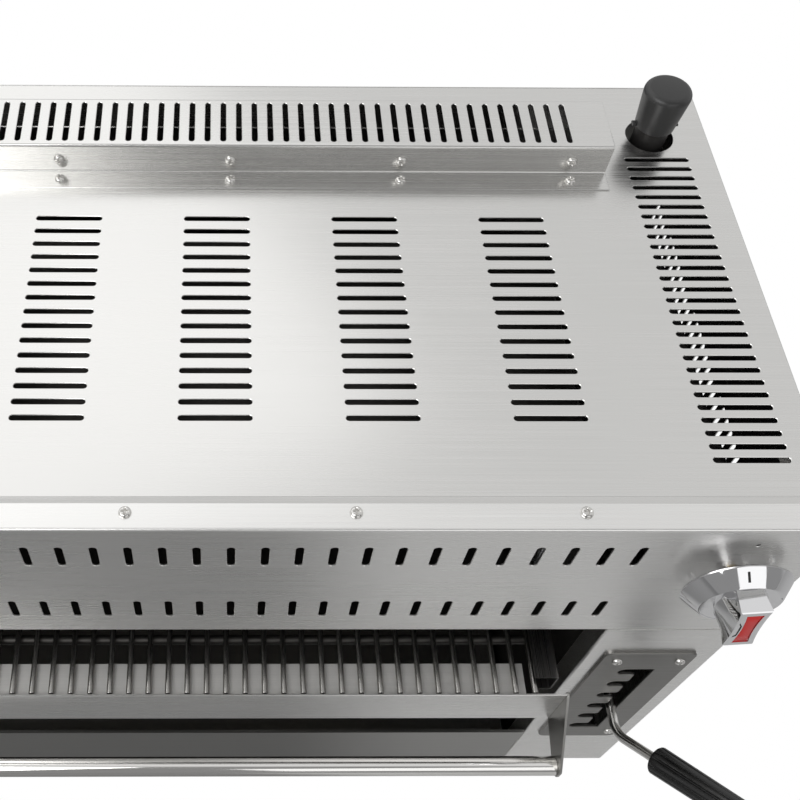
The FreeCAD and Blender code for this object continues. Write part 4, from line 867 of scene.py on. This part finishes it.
def fluted_grip(corner):
    """A tapered bar whose radius dips in rounded flutes, faded out at its rounded ends."""
    steps, rows = 192, 40
    turn, ring = spokes(grip_way, steps)
    ease = np.linspace(0, np.pi / 2, 6)
    middle = np.linspace(grip_round, grip_length - grip_round, rows)[1:-1]
    rise, reach = grip_round * np.sin(ease), grip_round * (1 - np.cos(ease))
    t = np.concatenate([reach, middle, grip_length - grip_round + rise])
    inset = np.concatenate([grip_round - rise, 0 * middle, reach])
    radius = grip_radius + (grip_tip_radius - grip_radius) * t / grip_length - inset
    phase = np.abs(((turn * grip_flutes / (2 * np.pi) + 0.5) % 1) - 0.5)
    width = flute_half_width / (grip_radius * 2 * np.pi / grip_flutes)
    fade = np.clip(np.minimum(t, grip_length - t) / grip_fade, 0, 1)
    dip = flute_depth * np.sqrt(np.clip(1 - (phase / width) ** 2, 0, 1))[None] * fade[:, None]
    r = radius[:, None] - dip
    points = corner + grip_way * grip_start + t[:, None, None] * grip_way + r[..., None] * ring
    return points.reshape(-1, 3), capped(len(t), steps)


# Rack


def rack():
    """Bars, frame rod, apron, end brackets and the handle tube."""
    z = rack_top - bar_radius - bar_sink
    blocks = [bar((x, bar_y[0], z), (x, bar_y[1], z), bar_radius, steps=14)
              for x in spread(bars, bar_pitch)]
    ring = rounded(box_outline(-frame_x, frame_x, *frame_y), [frame_corner] * 4, steps=8)
    frame_z = rack_top - 2 * bar_radius - frame_rod
    path = np.column_stack([ring, np.full(len(ring), frame_z)])
    frame_block = carried(path, circle(0, 0, frame_rod, steps=16), (0, 0, 1), closed=True)
    # The frame rod takes the near-black inner steel: painted shade.
    make_piece("rack_bars", "rack", bright_wire, blocks, ["grill_rack"],
               smooth=50.0, accent=shaded_inner_steel, marks=[frame_block])
    edge = rack_half - bracket
    low = apron_top - apron_height
    corners = [(apron_y + apron_hem, low), (apron_y, low), (apron_y, apron_top)]
    blocks = [bent_sheet(corners, bend, -1, "along", (-edge, edge), (), apron_thickness)]
    shelf_z = rack_top - 2 * bar_radius - bar_sink
    shelf = box_outline(-shelf_half, shelf_half, apron_y + apron_thickness, apron_y + apron_shelf)
    shelf_block = plate("level", shelf_z, 1, shelf, (), apron_thickness, fine)
    make_piece("apron_sheet", "rack", front_steel, blocks, ["rack_apron"],
               accent=shelf_steel, marks=[shelf_block])
    nose = bracket_nose
    rear = apron_y + bracket_depth
    outline = [(rear, apron_top), (apron_y, apron_top), (handle_y - nose, handle_z + nose),
               (handle_y - nose, handle_z - nose), (handle_y, handle_z - nose), (rear, low)]
    ring = rounded(outline, [0, bracket_round, nose / 2, nose, 0, nose])
    for word, way in (("right", 1), ("left", -1)):
        block = plate("sideways", way * rack_half, way, ring, (), bracket, rim)
        make_piece(word + "_end_sheet", "rack", bracket_steel, [block],
                   [word + "_end_bracket"])
    ends = (-edge, handle_y, handle_z), (edge, handle_y, handle_z)
    tube = bar(*ends, handle_radius, steps=40, round_share=tube_round_share)
    make_piece("handle_bar", "rack", polished, [tube], ["handle_tube"])


# Gas pipe's cap


def pipe_cap():
    """The thread cap: a taper with a rounded dome, a hollow mouth and two small tabs at its rim."""
    height = cap_high - cap_low
    turn = np.linspace(0, np.pi / 2, 9)
    dome = np.stack([cap_high_radius - cap_round + cap_round * np.cos(turn),
                     height - cap_shoulder + (cap_dome + cap_shoulder) * np.sin(turn) * dome_share], 1)
    bore, mouth = pipe_radius + pipe_gap, pipe_rise + pipe_gap - cap_low
    inner = [(0.0, mouth), (bore, mouth), (bore, 0.0), (cap_low_radius - cap_chamfer, 0.0),
             (cap_low_radius, cap_chamfer)]
    crown = [(cap_flat, height + cap_dome - cap_crown), (0.0, height + cap_dome)]
    rows = np.concatenate([inner, dome, crown])
    blocks = [spun(rows, (pipe_x, pipe_y, top + cap_low), (0, 0, 1), steps=64)]
    for ends in ((-tab_outer, -tab_inner), (tab_inner, tab_outer)):
        ring = box_outline(pipe_x + ends[0], pipe_x + ends[1], pipe_y - tab_half, pipe_y + tab_half)
        blocks.append(plate("level", top + cap_low + tab_rise, 1, ring, (), tab_thickness, tab_rim))
    make_piece("thread_cap", "thread_cap", cap_plastic, blocks, ["pipe_cap"])


# Knobs


def waisted(sizes, steps=9):
    """An upright outline whose half width changes from waist to end with the height squared."""
    half_height, end, waist = sizes
    v = np.linspace(-half_height, half_height, steps)
    side = waist + (end - waist) * (v / half_height) ** 2
    return np.concatenate([np.stack([side, v], 1), np.stack([-side, v], 1)[::-1]])


def leaning(points):
    """Places on the knob turned by its rest angle about its axis."""
    u, v = points[..., 0], points[..., 1]
    cosine, sine = math.cos(knob_turn), math.sin(knob_turn)
    return np.stack([u * cosine - v * sine, u * sine + v * cosine], -1)


def placed(rings, depths, x):
    """Rings of (across, up) points turned to the knob's rest and put at depths in front of the fascia."""
    rings = leaning(rings)
    depths = np.broadcast_to(np.array(depths)[:, None], rings.shape[:2])
    points = np.stack([rings[..., 0] + x, front - depths, rings[..., 1] + knob_z], -1)
    return points.reshape(-1, 3)


def knob(word, x):
    """The knob: a lathe-turned skirt and face, a grip bar lofted between outlines, and its window."""
    base, out = (x, front, knob_z), (0.0, -1.0, 0.0)
    face = skirt_back + skirt_depth
    rim_front = skirt_back + skirt_rim
    wide, shoulder = skirt_radius, skirt_radius - skirt_round
    hollow, sunk = skirt_back + skirt_hollow, face - face_sink
    rows = [(0.0, hollow), (wide - skirt_edge, hollow), (wide - skirt_lip, skirt_back),
            (shoulder, skirt_back), (wide, skirt_back + skirt_round), (wide, rim_front - skirt_turn),
            (shoulder, rim_front), (face_radius + face_round, face - face_drop),
            (face_radius - face_sink, face), (face_radius - face_flat, face),
            (face_radius - face_step, sunk), (0.0, sunk)]
    sleeve_tip = skirt_back + sleeve_end
    sleeve = [(0.0, sleeve_start), (sleeve_radius, sleeve_start), (sleeve_radius, sleeve_tip),
              (0.0, sleeve_tip)]
    blocks = [spun(rows, base, out, steps=96), spun(sleeve, base, out, steps=32)]
    tip = face + bar_depth
    root_ring, tip_ring, inner = waisted(root_sizes), waisted(tip_sizes), waisted(window_sizes)
    rings = root_ring + (tip_ring - root_ring) * np.array(level_shares)[:, None, None]
    rings[-1] = grown(tip_ring, -bar_rim)
    rings = np.concatenate([rings, inner[None], inner[None]])
    depths = [face - bar_root, face, face + bar_depth / 2, tip - bar_rim, tip, tip, tip - window_depth]
    blocks.append((placed(rings, depths, x), capped(*rings.shape[:2])))
    make_piece(word + "_turned_knob", word + "_control", chrome, blocks, [word + "_knob"],
               accent=black_paint, marks=[skirt_groove(x)])
    ring = grown(inner, -window_gap)
    rings = np.stack([ring] + [ring * share for share in bulge_shares])
    rise = np.array([0.0] + [window_lift + height for height in bulge_heights])
    block = (placed(rings, tip - window_depth + rise, x), capped(*rings.shape[:2]))
    make_piece(word + "_red_window", word + "_control", red_enamel, [block],
               [word + "_knob_insert"])


def skirt_groove(x):
    """The black mark on the skirt's slope: a flat bar laid along the slope, above the knob's middle."""
    start = np.array((skirt_radius - skirt_round, skirt_back + skirt_rim))
    slope = np.array((face_radius + face_round, skirt_back + skirt_depth - face_drop)) - start
    slope /= np.linalg.norm(slope)
    lift = np.array((slope[1], -slope[0]))
    flat_ring = [(a, b) for a, b in zip((-1, 1, 1, -1), (-1, -1, 1, 1))]
    corners = np.array([(a * groove_half_length, b * groove_half_width, c)
                        for c in groove_heights for a, b in flat_ring])
    spot = start + (groove_drop + corners[:, :1]) * slope + corners[:, 2:] * lift
    place = leaning(np.stack([corners[:, 1], spot[:, 0]], 1))
    points = np.stack([place[:, 0] + x, front - spot[:, 1], place[:, 1] + knob_z], 1)
    return points, quads(2, 4) + [[3, 2, 1, 0], [4, 5, 6, 7]]


top_panel()
front_fascia()
flue_cover()
side_panels()
notch_plate()
screws()
lever()
rack()
pipe_cap()
knob("right", knob_x)
knob("left", -knob_x)


# Camera, light and ground


def photo_camera():
    """The camera that the photograph was taken with: its place, turn, lens and shift."""
    pitch, yaw, roll = (math.radians(angle) for angle in (camera_pitch, camera_yaw, camera_roll))
    forward = Vector((math.sin(yaw) * math.cos(pitch), math.cos(yaw) * math.cos(pitch), -math.sin(pitch)))
    level = Vector((math.cos(yaw), -math.sin(yaw), 0.0))
    down = forward.cross(level)
    right = level * math.cos(roll) + down * math.sin(roll)
    below = down * math.cos(roll) - level * math.sin(roll)
    camera = bpy.data.objects.new("photo_camera", bpy.data.cameras.new("photo_camera"))
    bpy.context.scene.collection.objects.link(camera)
    turn = Matrix((right, -below, -forward)).transposed().to_4x4()
    camera.matrix_world = Matrix.Translation(Vector(camera_place) * METRES) @ turn
    camera.data.sensor_width = sensor
    camera.data.lens = sensor * focal_pixels / picture_width
    camera.data.shift_x, camera.data.shift_y = camera_shift
    camera.data.clip_start = 0.01
    bpy.context.scene.camera = camera


def panel_light(name, place, aim, size, power):
    """A soft rectangular lamp turned to its aim."""
    lamp = bpy.data.lights.new(name, "AREA")
    lamp.shape = "RECTANGLE"
    lamp.size, lamp.size_y = size
    lamp.energy = power
    held = bpy.data.objects.new(name, lamp)
    bpy.context.scene.collection.objects.link(held)
    held.location = place
    held.rotation_mode = "QUATERNION"
    held.rotation_quaternion = (Vector(aim) - Vector(place)).to_track_quat("-Z", "Y")


def shown_or_mirrored(tree, mirror_share):
    """A factor that is 1 for camera rays and a share for glossy and transmission rays."""
    path = tree.nodes.new("ShaderNodeLightPath").outputs
    either = worked(tree, "MAXIMUM", path["Is Glossy Ray"], path["Is Transmission Ray"])
    return worked(tree, "MAXIMUM", path["Is Camera Ray"], worked(tree, "MULTIPLY", either, mirror_share))


def ramp(tree, vector, axis, span, values):
    """One coordinate of a vector, eased from the first value to the second across its span."""
    parts = tree.nodes.new("ShaderNodeSeparateXYZ")
    tree.links.new(vector, parts.inputs[0])
    eased = tree.nodes.new("ShaderNodeMapRange")
    eased.interpolation_type = "SMOOTHSTEP"
    tree.links.new(parts.outputs[axis], eased.inputs["Value"])
    eased.inputs["From Min"].default_value, eased.inputs["From Max"].default_value = span
    eased.inputs["To Min"].default_value, eased.inputs["To Max"].default_value = values
    return eased.outputs["Result"]


def room_tone(tree):
    """The room's strength for camera and mirror rays: dim in front and full overhead and behind.

    Camera rays that meet no piece see full white.
    """
    place = tree.nodes.new("ShaderNodeTexCoord").outputs["Generated"]
    tone = ramp(tree, place, "Y", room_span, room_strengths)
    path = tree.nodes.new("ShaderNodeLightPath").outputs
    return worked(tree, "MAXIMUM", path["Is Camera Ray"], tone)


def mixed(tree, factor, first, second):
    """The output of two shaders mixed by a factor."""
    mix = tree.nodes.new("ShaderNodeMixShader")
    for place, value in zip(mix.inputs, (factor, first, second)):
        tree.links.new(value, place)
    return mix.outputs[0]


def studio():
    """A pale world that is white to the camera, and the lamps."""
    world = bpy.data.worlds.new("studio")
    bpy.context.scene.world = world
    world.use_nodes = True
    tree = world.node_tree
    ambient = tree.nodes["Background"]
    ambient.inputs["Color"].default_value = (1.0, 1.0, 1.0, 1.0)
    ambient.inputs["Strength"].default_value = ambient_strength
    shown = tree.nodes.new("ShaderNodeBackground")
    tree.links.new(room_tone(tree), shown.inputs["Strength"])
    both = mixed(tree, shown_or_mirrored(tree, 1.0), ambient.outputs[0], shown.outputs[0])
    tree.links.new(both, tree.nodes["World Output"].inputs["Surface"])
    for lamp in lamps:
        panel_light(*lamp)


def ground():
    """The ground: white to the camera, and for other rays mostly a grey, darker to the left."""
    mesh = bpy.data.meshes.new("ground")
    corners = [(x, y, 0) for x, y in box_outline(-ground_reach, ground_reach, -ground_reach, ground_reach)]
    mesh.from_pydata(corners, [], [(0, 1, 2, 3)])
    floor = bpy.data.objects.new("ground", mesh)
    bpy.context.scene.collection.objects.link(floor)
    paper = bpy.data.materials.new("white ground")
    paper.use_nodes = True
    tree = paper.node_tree
    shader = tree.nodes["Principled BSDF"]
    shader.inputs["Roughness"].default_value = ground_roughness
    place = tree.nodes.new("ShaderNodeTexCoord").outputs["Object"]
    tree.links.new(ramp(tree, place, "X", ground_span, ground_tones), shader.inputs["Base Color"])
    glow = tree.nodes.new("ShaderNodeEmission")
    glow.inputs["Strength"].default_value = 1.0
    both = mixed(tree, shown_or_mirrored(tree, ground_mirror_share), shader.outputs[0], glow.outputs[0])
    tree.links.new(both, tree.nodes["Material Output"].inputs["Surface"])
    mesh.materials.append(paper)


photo_camera()
studio()
ground()
bpy.context.scene.view_settings.view_transform = "Standard"
